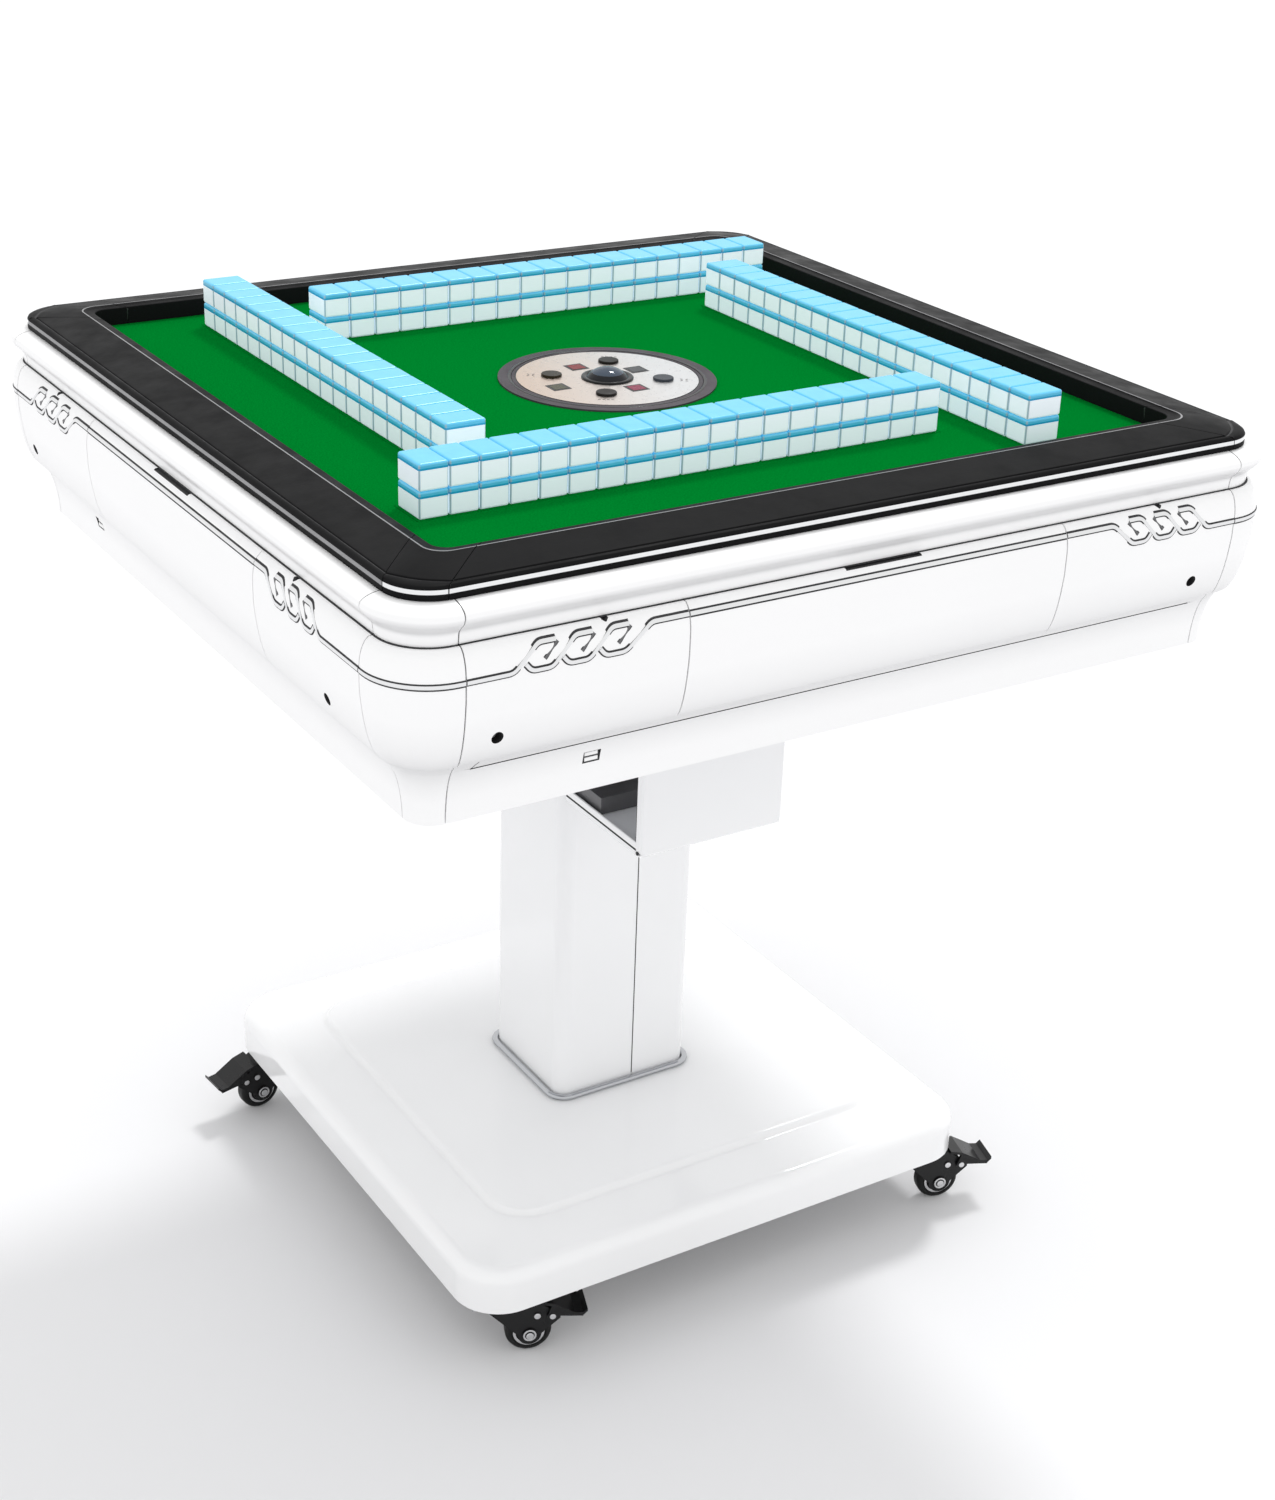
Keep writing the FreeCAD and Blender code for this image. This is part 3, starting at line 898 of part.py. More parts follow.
# Tile lifts and their walls of tiles, two high.
tile_block = make("Part::Box", "TileBlock", Length="tile_wide", Width="tile_long", Height="tile_thick")
doc.recompute()
tile_edges = range(1, len(tile_block.Shape.Edges) + 1)
tile = doc.addObject("Part::Fillet", "Tile")
tile.Base = tile_block
tile.Edges = [(edge, size("tile_round"), size("tile_round")) for edge in tile_edges]
doc.recompute()
for quarter, side in enumerate(SIDES):
    plate = box("LiftPlate_" + side, ROW_LONG + " + 2 * lift_margin", "tile_long + 2 * lift_margin",
                "lift_thick", LIFT_X, LIFT_Y, FELT_TOP + " - lift_thick", quarter)
    legs = [box("LiftLeg_%s_%d" % (side, i), "leg_wide", "leg_thick", "leg_long",
                "%s + %s%s" % (LIFT_X, sign, LEG_FAR), LIFT_Y, FELT_TOP + " - lift_thick - leg_long",
                quarter)
            for i, sign in enumerate(("-", ""))]
    node("lift_" + side, group("Lift_" + side, [plate] + legs))
    copies = []
    for column in range(TILE_COLUMNS):
        for layer in range(TILE_LAYERS):
            piece = tile.Shape.copy()
            piece.translate(Vector(size("%d * (tile_wide + tile_gap)" % column), 0,
                                   size("%d * tile_thick" % layer)))
            copies.append(piece)
    wall = doc.addObject("Part::Feature", "TileWall_" + side)
    wall.Shape = Part.makeCompound(copies)
    node("tiles_" + side, place(wall, "-row_shift", "-row_place", FELT_TOP, quarter))

# The console: fixed ring, lifting drum with buttons and windows, dice disc under a dome.
ring_bore = rod("RingBore", "sleeve_radius - sleeve_wall", "sleeve_tall + ring_flange + 2 * overrun",
                z=FELT_TOP + " - sleeve_tall - overrun")
node("console_ring", cut("ConsoleRing", fuse(
    "RingSolid", rod("RingFlange", "ring_radius", "ring_flange", z=FELT_TOP),
    rod("RingSleeve", "sleeve_radius", "sleeve_tall", z=FELT_TOP + " - sleeve_tall")), ring_bore))


def console_piece(name, obj):
    """Turn a console piece so that its buttons face the table's corners."""
    return node(name, place(obj, lay=Rotation(TURN_Z, CONSOLE_TURN)))


drum_tools = [rod("DrumHollow", DRUM_RADIUS + " - drum_wall", "drum_tall - drum_plate + overrun",
                  z=PLATE_TOP + " - drum_tall - overrun"),
              rod("DiscRoom", "disc_radius + disc_gap", "disc_thick + disc_gap + overrun",
                  z=PLATE_TOP + " - disc_thick - disc_gap"),
              rod("SpindleRoom", "spindle_radius + spindle_fit", "drum_plate + 2 * overrun",
                  z=PLATE_TOP + " - drum_plate - overrun")]
button_spots = {"right": ("button_place", "0"), "top": ("0", "button_place"),
                "left": ("-button_place", "0"),
                "bottom": ("0", "-button_place")}
BUTTON_LOW = "(%s - drum_plate - disc_gap - button_lip_tall)" % PLATE_TOP
for spot, (x, y) in button_spots.items():
    drum_tools.append(rod("ButtonHole_" + spot, "button_radius + button_gap", "drum_plate + 2 * overrun",
                          x, y,
                          PLATE_TOP + " - drum_plate - overrun"))
    stem = rod("ButtonStem_" + spot, "button_radius",
               "button_lip_tall + disc_gap + drum_plate + button_proud", x, y, BUTTON_LOW)
    lip = rod("ButtonLip_" + spot, "button_radius + button_lip", "button_lip_tall", x, y, BUTTON_LOW)
    cap = rolled("ButtonCap_" + spot, stem, "button_round", [PLATE_TOP + " + button_proud"])
    console_piece("button_" + spot, fuse("Button_" + spot, cap, lip))
windows = []
for number, (share_x, share_y) in enumerate(WINDOW_SHARES):
    x = "%s * %s" % (DRUM_RADIUS, share_x)
    y = "%s * %s" % (DRUM_RADIUS, share_y)
    drum_tools.append(box("WindowRoom%d" % number, "window_side + 2 * window_fit",
                          "window_side + 2 * window_fit", "window_thick - window_proud + overrun", x, y,
                          PLATE_TOP + " - window_thick + window_proud"))
    windows.append(box("Window%d" % number, "window_side", "window_side", "window_thick", x, y,
                       PLATE_TOP + " - window_thick + window_proud"))
drum_block = rod("DrumBlock", DRUM_RADIUS, "drum_tall", z=PLATE_TOP + " - drum_tall")
console_piece("console_drum", cut("ConsoleDrum", drum_block, *drum_tools))
console_piece("console_windows", group("ConsoleWindows", windows))

DOME_BALL = "((dome_radius ^ 2 + dome_tall ^ 2) / (2 * dome_tall))"


def dome_cap(name, radius):
    ball = place(make("Part::Sphere", name + "Ball", Radius=radius), z="%s + dome_tall - %s"
                 % (PLATE_TOP, DOME_BALL))
    cover = rod(name + "Space", "dome_radius", "dome_tall + overrun", z=PLATE_TOP)
    return common(name, ball, cover)


bezel = cut("Bezel", rod("BezelRim", "dome_radius + bezel_wide", "bezel_tall", z=PLATE_TOP),
            rod("BezelHole", "dome_radius - dome_wall", "bezel_tall + 2 * overrun",
                z=PLATE_TOP + " - overrun"))
dome_shell = cut("DomeShell", dome_cap("DomeOut", DOME_BALL),
                 dome_cap("DomeIn", DOME_BALL + " - dome_wall"))
console_piece("console_dome", fuse("ConsoleDome", bezel, dome_shell))
disc = rod("DiceDisc", "disc_radius", "disc_thick", z=PLATE_TOP + " - disc_thick")
spindle = rod("Spindle", "spindle_radius", "spindle_long", z=PLATE_TOP + " - disc_thick - spindle_long")
console_piece("dice_tray", fuse("DiceTray", disc, spindle))
dice = []
for number, sign in enumerate(("-", "")):
    cube = box("DieBlock%d" % number, "dice_side", "dice_side", "dice_side", sign + "dice_place", "0",
               PLATE_TOP)
    doc.recompute()
    die = doc.addObject("Part::Fillet", "Die%d" % number)
    die.Base = cube
    die.Edges = [(i + 1, size("dice_round"), size("dice_round")) for i in range(len(cube.Shape.Edges))]
    dice.append(die)
console_piece("dice", group("Dice", dice))

# The shuffling turntable on its gear motor.
MOTOR_TOP = "(%s + motor_tall)" % TRAY_TOP
motor_case = box("MotorCase", "2 * motor_half", "2 * motor_half", "motor_tall", "0", "0", TRAY_TOP)
motor_shaft = rod("MotorShaft", "shaft_radius", "turn_hub_tall + turn_gap", z=MOTOR_TOP)
node("turntable_motor", fuse("TurntableMotor", motor_case, motor_shaft))
TURN_LOW = "(%s + turn_gap)" % MOTOR_TOP
turn_plate = rod("TurnPlate", "turn_radius", "turn_thick", z=TURN_LOW)
turn_rim = cut("TurnRim", rod("TurnRimOut", "turn_radius", "turn_rim", z=TURN_LOW),
               rod("TurnRimIn", "turn_radius - turn_rim_wall", "turn_rim + overrun", z=TURN_LOW))
turn_hub = rod("TurnHub", "turn_hub", "turn_hub_tall", z=TURN_LOW)
turn_bore = rod("TurnBore", "shaft_radius + shaft_fit", "turn_hub_tall + 2 * overrun",
                z=TURN_LOW + " - overrun")
node("turntable", cut("Turntable", fuse("TurnSolid", turn_plate, turn_rim, turn_hub), turn_bore))

doc.recompute()
for obj in doc.Objects:
    if "Invalid" in obj.State or "Error" in obj.State:
        raise RuntimeError("%s did not build: %s" % (obj.Name, obj.State))
for name, obj in nodes.items():
    if obj.Shape.isNull() or not obj.Shape.isValid() or not obj.Shape.Solids:
        raise RuntimeError("%s is not a valid solid" % name)

os.makedirs("parts", exist_ok=True)
for name, obj in nodes.items():
    obj.Shape.exportStep("parts/%s.step" % name)
    bounds = obj.Shape.BoundBox
    print("%-26s %3d solids %12.0f mm3  x %7.1f %7.1f  y %7.1f %7.1f  z %6.1f %6.1f"
          % (name, len(obj.Shape.Solids), obj.Shape.Volume, bounds.XMin, bounds.XMax, bounds.YMin,
             bounds.YMax, bounds.ZMin, bounds.ZMax))
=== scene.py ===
"""Automatic mahjong table: moulded skins, trim, materials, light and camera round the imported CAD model."""
from math import asin, cos, degrees, pi, radians, sin

import bmesh
import bpy
from mathutils import Matrix, Vector


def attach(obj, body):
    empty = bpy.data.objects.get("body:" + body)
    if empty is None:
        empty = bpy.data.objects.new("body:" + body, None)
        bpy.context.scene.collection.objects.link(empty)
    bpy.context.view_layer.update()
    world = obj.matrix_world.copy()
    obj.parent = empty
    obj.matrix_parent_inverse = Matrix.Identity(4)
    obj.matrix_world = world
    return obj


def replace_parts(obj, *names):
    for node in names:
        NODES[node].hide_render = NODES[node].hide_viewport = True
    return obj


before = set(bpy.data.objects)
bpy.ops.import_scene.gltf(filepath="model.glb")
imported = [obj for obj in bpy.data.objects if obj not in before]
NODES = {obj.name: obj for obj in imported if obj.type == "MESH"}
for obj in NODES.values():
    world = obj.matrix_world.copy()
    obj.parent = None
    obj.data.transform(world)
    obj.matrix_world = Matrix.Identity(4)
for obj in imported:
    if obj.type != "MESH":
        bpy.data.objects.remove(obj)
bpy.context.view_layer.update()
SIDES = ("front", "right", "back", "left")
CORNERS = ("front_left", "front_right", "back_right", "back_left")
QUARTERS = range(4)
MM = 0.001
scene = bpy.context.scene


# ---------- materials ----------
class Shader:
    """A node material: one Principled shader and short calls for the nodes that feed it."""

    def __init__(self, name, colour, rough, metal=0.0, **sockets):
        self.material = bpy.data.materials.new(name)
        self.material.use_nodes = True
        self.tree = self.material.node_tree
        self.main = self.tree.nodes["Principled BSDF"]
        self.set(Base_Color=(*colour, 1.0), Roughness=rough, Metallic=metal, **sockets)
        self.coordinates = self.node("ShaderNodeTexCoord").outputs
        self.place = self.coordinates["Object"]

    def set(self, **sockets):
        for name, value in sockets.items():
            self.main.inputs[name.replace("_", " ")].default_value = value
        return self

    def node(self, kind, **settings):
        made = self.tree.nodes.new(kind)
        for name, value in settings.items():
            if hasattr(made, name):
                setattr(made, name, value)
            else:
                self.put(made, name.replace("_", " "), value)
        return made

    def put(self, made, socket, value):
        """Link an output to a node's socket, or set the socket to a plain value."""
        if isinstance(value, bpy.types.NodeSocket):
            self.tree.links.new(value, made.inputs[socket])
        else:
            made.inputs[socket].default_value = value

    def noise(self, scale, detail=3.0, rough=0.55, place=None):
        made = self.node("ShaderNodeTexNoise", Scale=scale, Detail=detail, Roughness=rough)
        self.put(made, "Vector", place or self.place)
        return made.outputs["Fac"]

    def stretch(self, scale):
        made = self.node("ShaderNodeMapping", Scale=scale)
        self.put(made, "Vector", self.place)
        return made.outputs["Vector"]

    def axes(self, source="Object"):
        """X, Y and Z of the place on the piece, or with Normal of the way its surface faces."""
        made = self.node("ShaderNodeSeparateXYZ")
        self.put(made, "Vector", self.coordinates[source])
        return made.outputs

    def span(self, value, low, high, start=0.0, end=1.0):
        """A value between start and end, brought to between low and high."""
        made = self.node("ShaderNodeMapRange")
        for socket, given in zip(("Value", "From Min", "From Max", "To Min", "To Max"),
                                 (value, start, end, low, high)):
            self.put(made, socket, given)
        return made.outputs["Result"]

    def mix(self, amount, first, second):
        made = self.node("ShaderNodeMix", data_type="RGBA")
        for i, value in ((0, amount), (6, first), (7, second)):
            if isinstance(value, bpy.types.NodeSocket):
                self.tree.links.new(value, made.inputs[i])
            else:
                made.inputs[i].default_value = value if i == 0 else (*value, 1.0)
        return made.outputs[2]

    def math(self, kind, first, second=0.0):
        made = self.node("ShaderNodeMath", operation=kind)
        self.put(made, 0, first)
        self.put(made, 1, second)
        return made.outputs[0]

    def feed(self, socket, value):
        self.put(self.main, socket, value)
        return self

    def bump(self, height, strength, distance):
        made = self.node("ShaderNodeBump", Strength=strength, Distance=distance)
        self.put(made, "Height", height)
        if self.main.inputs["Normal"].links:
            self.put(made, "Normal", self.main.inputs["Normal"].links[0].from_socket)
        return self.feed("Normal", made.outputs["Normal"])


DRIFT_SCALE, GRAIN_SCALE, GRAIN_DEEP = 6.0, 420.0, 0.0004
PATCHY, CALM = (38.0, 4.0, 0.8, 1.25), (9.0, 1.0, 0.95, 1.05)


def moulded(name, colour, rough, grain=0.02, drift=0.97, gloss=PATCHY, **sockets):
    """Moulded or painted skin: faint grain, a little colour drift and uneven gloss."""
    made = Shader(name, colour, rough, **sockets)
    dark = tuple(c * drift for c in colour)
    made.feed("Base Color", made.mix(made.span(made.noise(DRIFT_SCALE, 2.0), 0.0, 1.0, 0.35, 0.65), dark, colour))
    scale, detail, low, high = gloss
    made.feed("Roughness", made.span(made.noise(scale, detail), rough * low, rough * high, 0.3, 0.7))
    if grain:
        made.bump(made.noise(GRAIN_SCALE, 2.0), grain, GRAIN_DEEP)
    return made


def metal(name, colour, rough, scale, strength):
    """Plated or cast metal: fine unevenness in gloss and surface."""
    made = Shader(name, colour, rough, metal=1.0)
    made.feed("Roughness", made.span(made.noise(scale * 0.3, 3.0), rough * 0.75, rough * 1.3, 0.3, 0.7))
    made.bump(made.noise(scale, 4.0), strength, 0.0002)
    return made


# Painted shade: the body's mouldings are greyer where they face down, standing in for the shade under the fascia and
# in the skirt's cove.
LEVEL_LEAN, FULL_LEAN, PAINTED_UNDER_SHADE = -0.12, -0.62, (0.74, 0.74, 0.745)
white = moulded("white_moulding", (0.955, 0.955, 0.957), 0.3, grain=0, drift=0.99, gloss=CALM,
                Coat_Weight=0.2, Coat_Roughness=0.1)
white.feed("Base Color", white.mix(white.span(white.axes("Normal")["Z"], 0.0, 1.0, LEVEL_LEAN, FULL_LEAN),
                                   white.main.inputs["Base Color"].links[0].from_socket, PAINTED_UNDER_SHADE))
steel_white = moulded("white_steel", (0.945, 0.948, 0.955), 0.12, grain=0, drift=0.985,
                      Coat_Weight=0.5, Coat_Roughness=0.04)
base_white = moulded("base_lacquer", (0.955, 0.957, 0.962), 0.1, grain=0, drift=0.985,
                     Coat_Weight=0.5, Coat_Roughness=0.04)
inner_paint = moulded("painted_frame", (0.55, 0.56, 0.58), 0.45, grain=0.08)
under_paint = moulded("under_paint", (0.06, 0.06, 0.063), 0.5, grain=0.08)
seam_grey = moulded("seam_shadow", (0.03, 0.03, 0.032), 0.7, grain=0.05)
rail_black = moulded("rail_black", (0.009, 0.009, 0.0095), 0.4, grain=0.12, drift=0.96, Specular_IOR_Level=0.03)
# Painted highlights on the black rail: a dim grey one for the crease and the side lips, a bright one for the front and
# back lips.
rail_dim_highlight = moulded("rail_painted_dim_highlight", (0.27, 0.27, 0.28), 0.35, grain=0.2, drift=0.8)
rail_gleam = moulded("rail_lip_painted_highlight", (0.86, 0.87, 0.88), 0.15, grain=0.02, Coat_Weight=0.6)
dark_plastic = moulded("console_dark", (0.03, 0.03, 0.034), 0.3, grain=0.05)
inner_black = moulded("inner_black", (0.03, 0.03, 0.032), 0.5, grain=0.08)
caster_black = moulded("caster_black", (0.006, 0.006, 0.0065), 0.3, grain=0.06, Specular_IOR_Level=0.25,
                       Coat_Weight=0.15, Coat_Roughness=0.12)
rubber = moulded("wheel_rubber", (0.008, 0.008, 0.008), 0.45, grain=0.2, Specular_IOR_Level=0.25)
resin_white = moulded("die_white", (0.85, 0.85, 0.83), 0.2)
zinc = metal("bright_steel", (0.62, 0.63, 0.65), 0.28, 260.0, 0.05)
silver = metal("trim_silver", (0.8, 0.805, 0.81), 0.2, 90.0, 0.04)
dark_steel = metal("trim_fold_shade", (0.16, 0.16, 0.165), 0.3, 90.0, 0.04)
motor = metal("motor_metal", (0.5, 0.51, 0.53), 0.4, 500.0, 0.15)
board = Shader("board_wood", (0.6, 0.47, 0.33), 0.6)
board.feed("Base Color", board.mix(board.noise(14.0, 6.0, 0.7, board.stretch((1.0, 12.0, 12.0))),
                                   (0.42, 0.31, 0.2), (0.66, 0.53, 0.38)))
felt = Shader("felt_green", (0.0, 0.18, 0.025), 1.0, Specular_IOR_Level=0.0)
felt.feed("Base Color", felt.mix(
    felt.span(felt.noise(700.0, 5.0, 0.85), 0.0, 1.0, 0.3, 0.7), (0.0, 0.1, 0.01), (0.0, 0.27, 0.033)))
felt.bump(felt.noise(1500.0, 4.0, 0.8), 0.5, 0.0006)
felt.bump(felt.noise(260.0, 2.0, 0.6), 0.25, 0.0008)

# Tiles: white resin below, blue back above with a darker line where they meet, and painted shade in the joints between
# tiles.
TILE_FOOT, TILE_TALL, BACK_FROM, LINE_TO = 0.84005, 0.0224, 0.0169, 0.0186
BACK_BLUES, LINE_BLUE, JOINT_SHADE = ((0.09, 0.5, 0.84), (0.14, 0.6, 0.9)), (0.02, 0.33, 0.66), (0.36, 0.5, 0.58)
tile = Shader("tile_resin", (0.83, 0.88, 0.97), 0.25, Specular_IOR_Level=0.7)
level = tile.math("MODULO", tile.math("SUBTRACT", tile.axes()["Z"], TILE_FOOT), TILE_TALL)
back = tile.math("GREATER_THAN", level, BACK_FROM)
line = tile.math("MULTIPLY", back, tile.math("LESS_THAN", level, LINE_TO))
# Painted shade: the tiles darken where their surface turns at the edges, standing in for the shade in the joints.
way = tile.axes("Normal")
slanted = tile.math("MULTIPLY", tile.math("ABSOLUTE", way["X"]), tile.math("ABSOLUTE", way["Y"]))
joint_shade = tile.span(slanted, 0.0, 1.0, 0.2, 0.5)
colour = tile.mix(joint_shade, tile.mix(back, (0.96, 0.97, 1.0), tile.mix(tile.noise(60.0, 3.0), *BACK_BLUES)), JOINT_SHADE)
tile.feed("Base Color", tile.mix(line, colour, LINE_BLUE))
# Painted light: a faint glow brightens the tiles, whose sides lie in shade; it also stands in for the light real resin
# passes on, and is weaker in the joints.
painted_glow = tile.mix(joint_shade, tile.mix(back, (0.66, 0.84, 1.0), (0.0, 0.2, 0.22)), (0.12, 0.18, 0.22))
tile.feed("Emission Color", painted_glow)
tile.set(Emission_Strength=0.27)


# ---------- geometry ----------
def turned(point, quarter):
    """A point of the front side, turned to another side."""
    x, y, z = point
    for _ in range(quarter):
        x, y = -y, x
    return x, y, z


def curve(shares, steps=4):
    """A smooth line through points, with several steps from one to the next."""
    ends = [shares[0], *shares, shares[-1]]
    points = []
    for i in range(1, len(ends) - 2):
        for step in range(steps):
            t = step / steps
            points.append(tuple(0.5 * (2 * b + (c - a) * t + (2 * a - 5 * b + 4 * c - d) * t * t
                                       + (3 * b - a - 3 * c + d) * t ** 3)
                                for a, b, c, d in zip(*ends[i - 1:i + 3])))
    return points + [tuple(shares[-1])]


def ring(half_x, half_y, corner, z, steps=12):
    """A rounded rectangle as a closed row of points."""
    points = []
    for side_x, side_y, start in ((1, -1, -90), (1, 1, 0), (-1, 1, 90), (-1, -1, 180)):
        for step in range(steps + 1):
            angle = radians(start + 90 * step / steps)
            points.append((side_x * (half_x - corner) + corner * cos(angle),
                           side_y * (half_y - corner) + corner * sin(angle), z))
    return points


def bend(half, corner, start, straight=3, steps=16):
    """The front right corner of a rounded square, from x = start on the front to the same place on the right."""
    centre = half - corner
    first = max(0.0, (start - centre) / corner) if corner else 0.0
    low = degrees(asin(min(first, 1.0)))
    points = [(start + (centre - start) * i / straight, -half) for i in range(straight)] if start < centre else [
        (centre + corner * sin(radians(low)), -centre - corner * cos(radians(low)))] * straight
    for step in range(steps + 1):
        angle = radians(low + (90 - 2 * low) * step / steps)
        points.append((centre + corner * sin(angle), -centre - corner * cos(angle)))
    return points + [(-y, -x) for x, y in reversed(points[:straight])]


class Form:
    """Points and faces of one piece, in millimetres, with a material number for each face."""

    def __init__(self):
        self.points, self.faces, self.paints = [], [], []

    def add(self, points, faces, paints, quarters=(0,)):
        for quarter in quarters:
            first = len(self.points)
            self.points += [turned(point, quarter) for point in points]
            self.faces += [tuple(first + i for i in face) for face in faces]
            self.paints += paints
        return self

    def grid(self, rows, quarters=(0,), wrap=True, loop=False, paint=None):
        """A skin over rows of points. wrap closes each row, loop joins the last row to the first."""
        wide = len(rows[0])
        faces, paints = [], []
        for i in range(len(rows) if loop else len(rows) - 1):
            for j in range(wide if wrap else wide - 1):
                a, b = i * wide + j, i * wide + (j + 1) % wide
                c, d = (i + 1) % len(rows) * wide + (j + 1) % wide, (i + 1) % len(rows) * wide + j
                faces.append((a, b, c, d))
                paints.append(paint(i, j) if paint else 0)
        if wrap and not loop:
            for i in (0, len(rows) - 1):
                faces.append(tuple(range(i * wide, i * wide + wide)))
                paints.append(0)
        return self.add([point for row in rows for point in row], faces, paints, quarters)

    def block(self, x, y, z, quarters=(0,), paint=0):
        """A box between pairs of limits."""
        points = [(a, b, c) for c in z for b in y for a in x]
        faces = [(0, 2, 3, 1), (4, 5, 7, 6), (0, 1, 5, 4), (2, 6, 7, 3), (0, 4, 6, 2), (1, 3, 7, 5)]
        return self.add(points, faces, [paint] * 6, quarters)

    def turning(self, centre, profile, axis="Z", steps=48, paint=None):
        """A solid of revolution: profile is a closed or axis-to-axis list of (radius, along)."""
        rows = []
        for step in range(steps):
            angle = 2 * pi * step / steps
            row = []
            for radius, along in profile:
                a, b = radius * cos(angle), radius * sin(angle)
                x, y, z = {"Z": (a, b, along), "Y": (a, along, b), "X": (along, a, b)}[axis]
                row.append((centre[0] + x, centre[1] + y, centre[2] + z))
            rows.append(row)
        return self.grid(rows, loop=True, paint=paint)

    def piece(self, name, body, finish, materials, sharp=35, bevel=0.0, cutter=None):
        """The finished mesh object, riding on its body."""
        mesh = bpy.data.meshes.new(name)
        mesh.from_pydata([Vector(point) * MM for point in self.points], [], self.faces)
        mesh.polygons.foreach_set("material_index", self.paints)
        work = bmesh.new()
        work.from_mesh(mesh)
        bmesh.ops.remove_doubles(work, verts=work.verts, dist=1e-6)
        bmesh.ops.dissolve_degenerate(work, dist=1e-6, edges=work.edges)
        bmesh.ops.recalc_face_normals(work, faces=work.faces)
        work.to_mesh(mesh)
        work.free()
        made = bpy.data.objects.new(name, mesh)
        scene.collection.objects.link(made)
        for shader in materials:
            mesh.materials.append(shader.material)
        if cutter:
            tool = cutter.piece(name + "_cutter", None, None, materials[-1:])
            change = made.modifiers.new("cuts", "BOOLEAN")
            change.object = tool
            change.operation = "DIFFERENCE"
            change.solver = "EXACT"
            change.material_mode = "TRANSFER"
            settled = bpy.data.meshes.new_from_object(made.evaluated_get(bpy.context.evaluated_depsgraph_get()))
            made.modifiers.clear()
            made.data = settled
            bpy.data.objects.remove(tool)
        if body is None:
            return made
        made.data.shade_smooth()
        made.data.set_sharp_from_angle(angle=radians(sharp))
        if bevel:
            rounding = made.modifiers.new("edges", "BEVEL")
            rounding.width = bevel * MM
            rounding.segments = 2
            rounding.limit_method = "ANGLE"
            rounding.angle_limit = radians(sharp)
        weighted = made.modifiers.new("normals", "WEIGHTED_NORMAL")
        weighted.keep_sharp = True
        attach(made, body)
        return made


def paint_nodes(shader, names):
    """One material on CAD nodes that stay as they are."""
    for name in names:
        NODES[name].data.materials.clear()
        NODES[name].data.materials.append(shader.material)


def rounded(points, radius, steps=5):
    """A path of straight runs with its corners rounded."""
    path = [Vector(points[0])]
    for before, here, after in zip(points, points[1:], points[2:]):
        here = Vector(here)
        back_way, on_way = Vector(before) - here, Vector(after) - here
        a = here + back_way.normalized() * min(radius, back_way.length / 2)
        b = here + on_way.normalized() * min(radius, on_way.length / 2)
        for step in range(steps + 1):
            t = step / steps
            path.append(a * (1 - t) ** 2 + here * 2 * t * (1 - t) + b * t * t)
    return path + [Vector(points[-1])]


# ---------- body shells, drawers and bands ----------
# Millimetres. In the tables of shares, each pair is the height above the foot and the depth in from the widest place.
CORNER_START, SIDE_END = 373.9, 372.8
DRAWER_EDGE, HOLE_EDGE = 183.7, 184.9
FASCIA_LOW, FASCIA_TOP, TRAY_LOW, BAND_LOW, FELT_TOP = 710.0, 807.0, 655.0, 808.6, 840.0
FASCIA_HALF, FASCIA_SWELL, SKIRT_HALF, SKIRT_SWELL = 430, 14, 413, 16
BAND_HALF, BAND_SWELL, BAND_TALL = 429, 15, 31.4
SHELL_BACK, INNER_FACE, RAIL_SEAT = 388.6, 411.0, 401.2
FASCIA_SHARES = ((0, 1), (0.05, 0.78), (0.13, 0.55), (0.24, 0.34), (0.37, 0.17), (0.5, 0.06), (0.61, 0),
                 (0.77, 0), (0.86, 0.07), (0.93, 0.22), (0.97, 0.38), (1, 0.6))
SKIRT_SHARES = ((0, 1), (0.2, 0.97), (0.45, 0.86), (0.66, 0.68), (0.82, 0.45), (0.93, 0.2), (1, 0))
BAND_SHARES = ((0, 0.72), (0.12, 0.7), (0.28, 0.64), (0.42, 0.4), (0.52, 0.18), (0.62, 0.05), (0.72, 0),
               (0.82, 0.08), (0.9, 0.3), (0.96, 0.62), (1, 1))


def side_line(half, swell, foot, tall, shares, steps=4):
    return [(half - swell * max(inward, 0), foot + tall * up) for up, inward in curve(shares, steps)]


fascia_line = side_line(FASCIA_HALF, FASCIA_SWELL, FASCIA_LOW, FASCIA_TOP - FASCIA_LOW, FASCIA_SHARES)
skirt_line = side_line(SKIRT_HALF, SKIRT_SWELL, TRAY_LOW, FASCIA_LOW - TRAY_LOW, SKIRT_SHARES, 6)
band_line = side_line(BAND_HALF, BAND_SWELL, BAND_LOW, BAND_TALL, BAND_SHARES)


def face(z, line=fascia_line):
    """How far out a face stands at a level."""
    for (low_half, low), (high_half, high) in zip(line, line[1:]):
        if low <= z <= high:
            return low_half + (high_half - low_half) * (z - low) / (high - low)
    return line[0][0] if z < line[0][1] else line[-1][0]


def along_side(section, places, end_of=None):
    """Rows of a section at places along the front side."""
    return [[(place if end_of is None else place * end_of(half), -half, z) for half, z in section]
            for place in places]


def round_corner(section, corner_of, start_of):
    """Rows of a section round the front right corner."""
    paths = [bend(half, corner_of(half), start_of(half)) for half, z in section]
    return [[(*paths[j][i], section[j][1]) for j in range(len(section))] for i in range(len(paths[0]))]


def spread(low, high, step):
    """Evenly spaced places from low to high, about a step apart."""
    count = max(1, round(abs(high - low) / step))
    return [low + (high - low) * i / count for i in range(count + 1)]


# The skirt's groove runs along each side and stops short of the corners.
GROOVE_LOW, GROOVE_TALL, GROOVE_DEEP, GROOVE_END = 700.4, 0.6, 1.1, 357.0


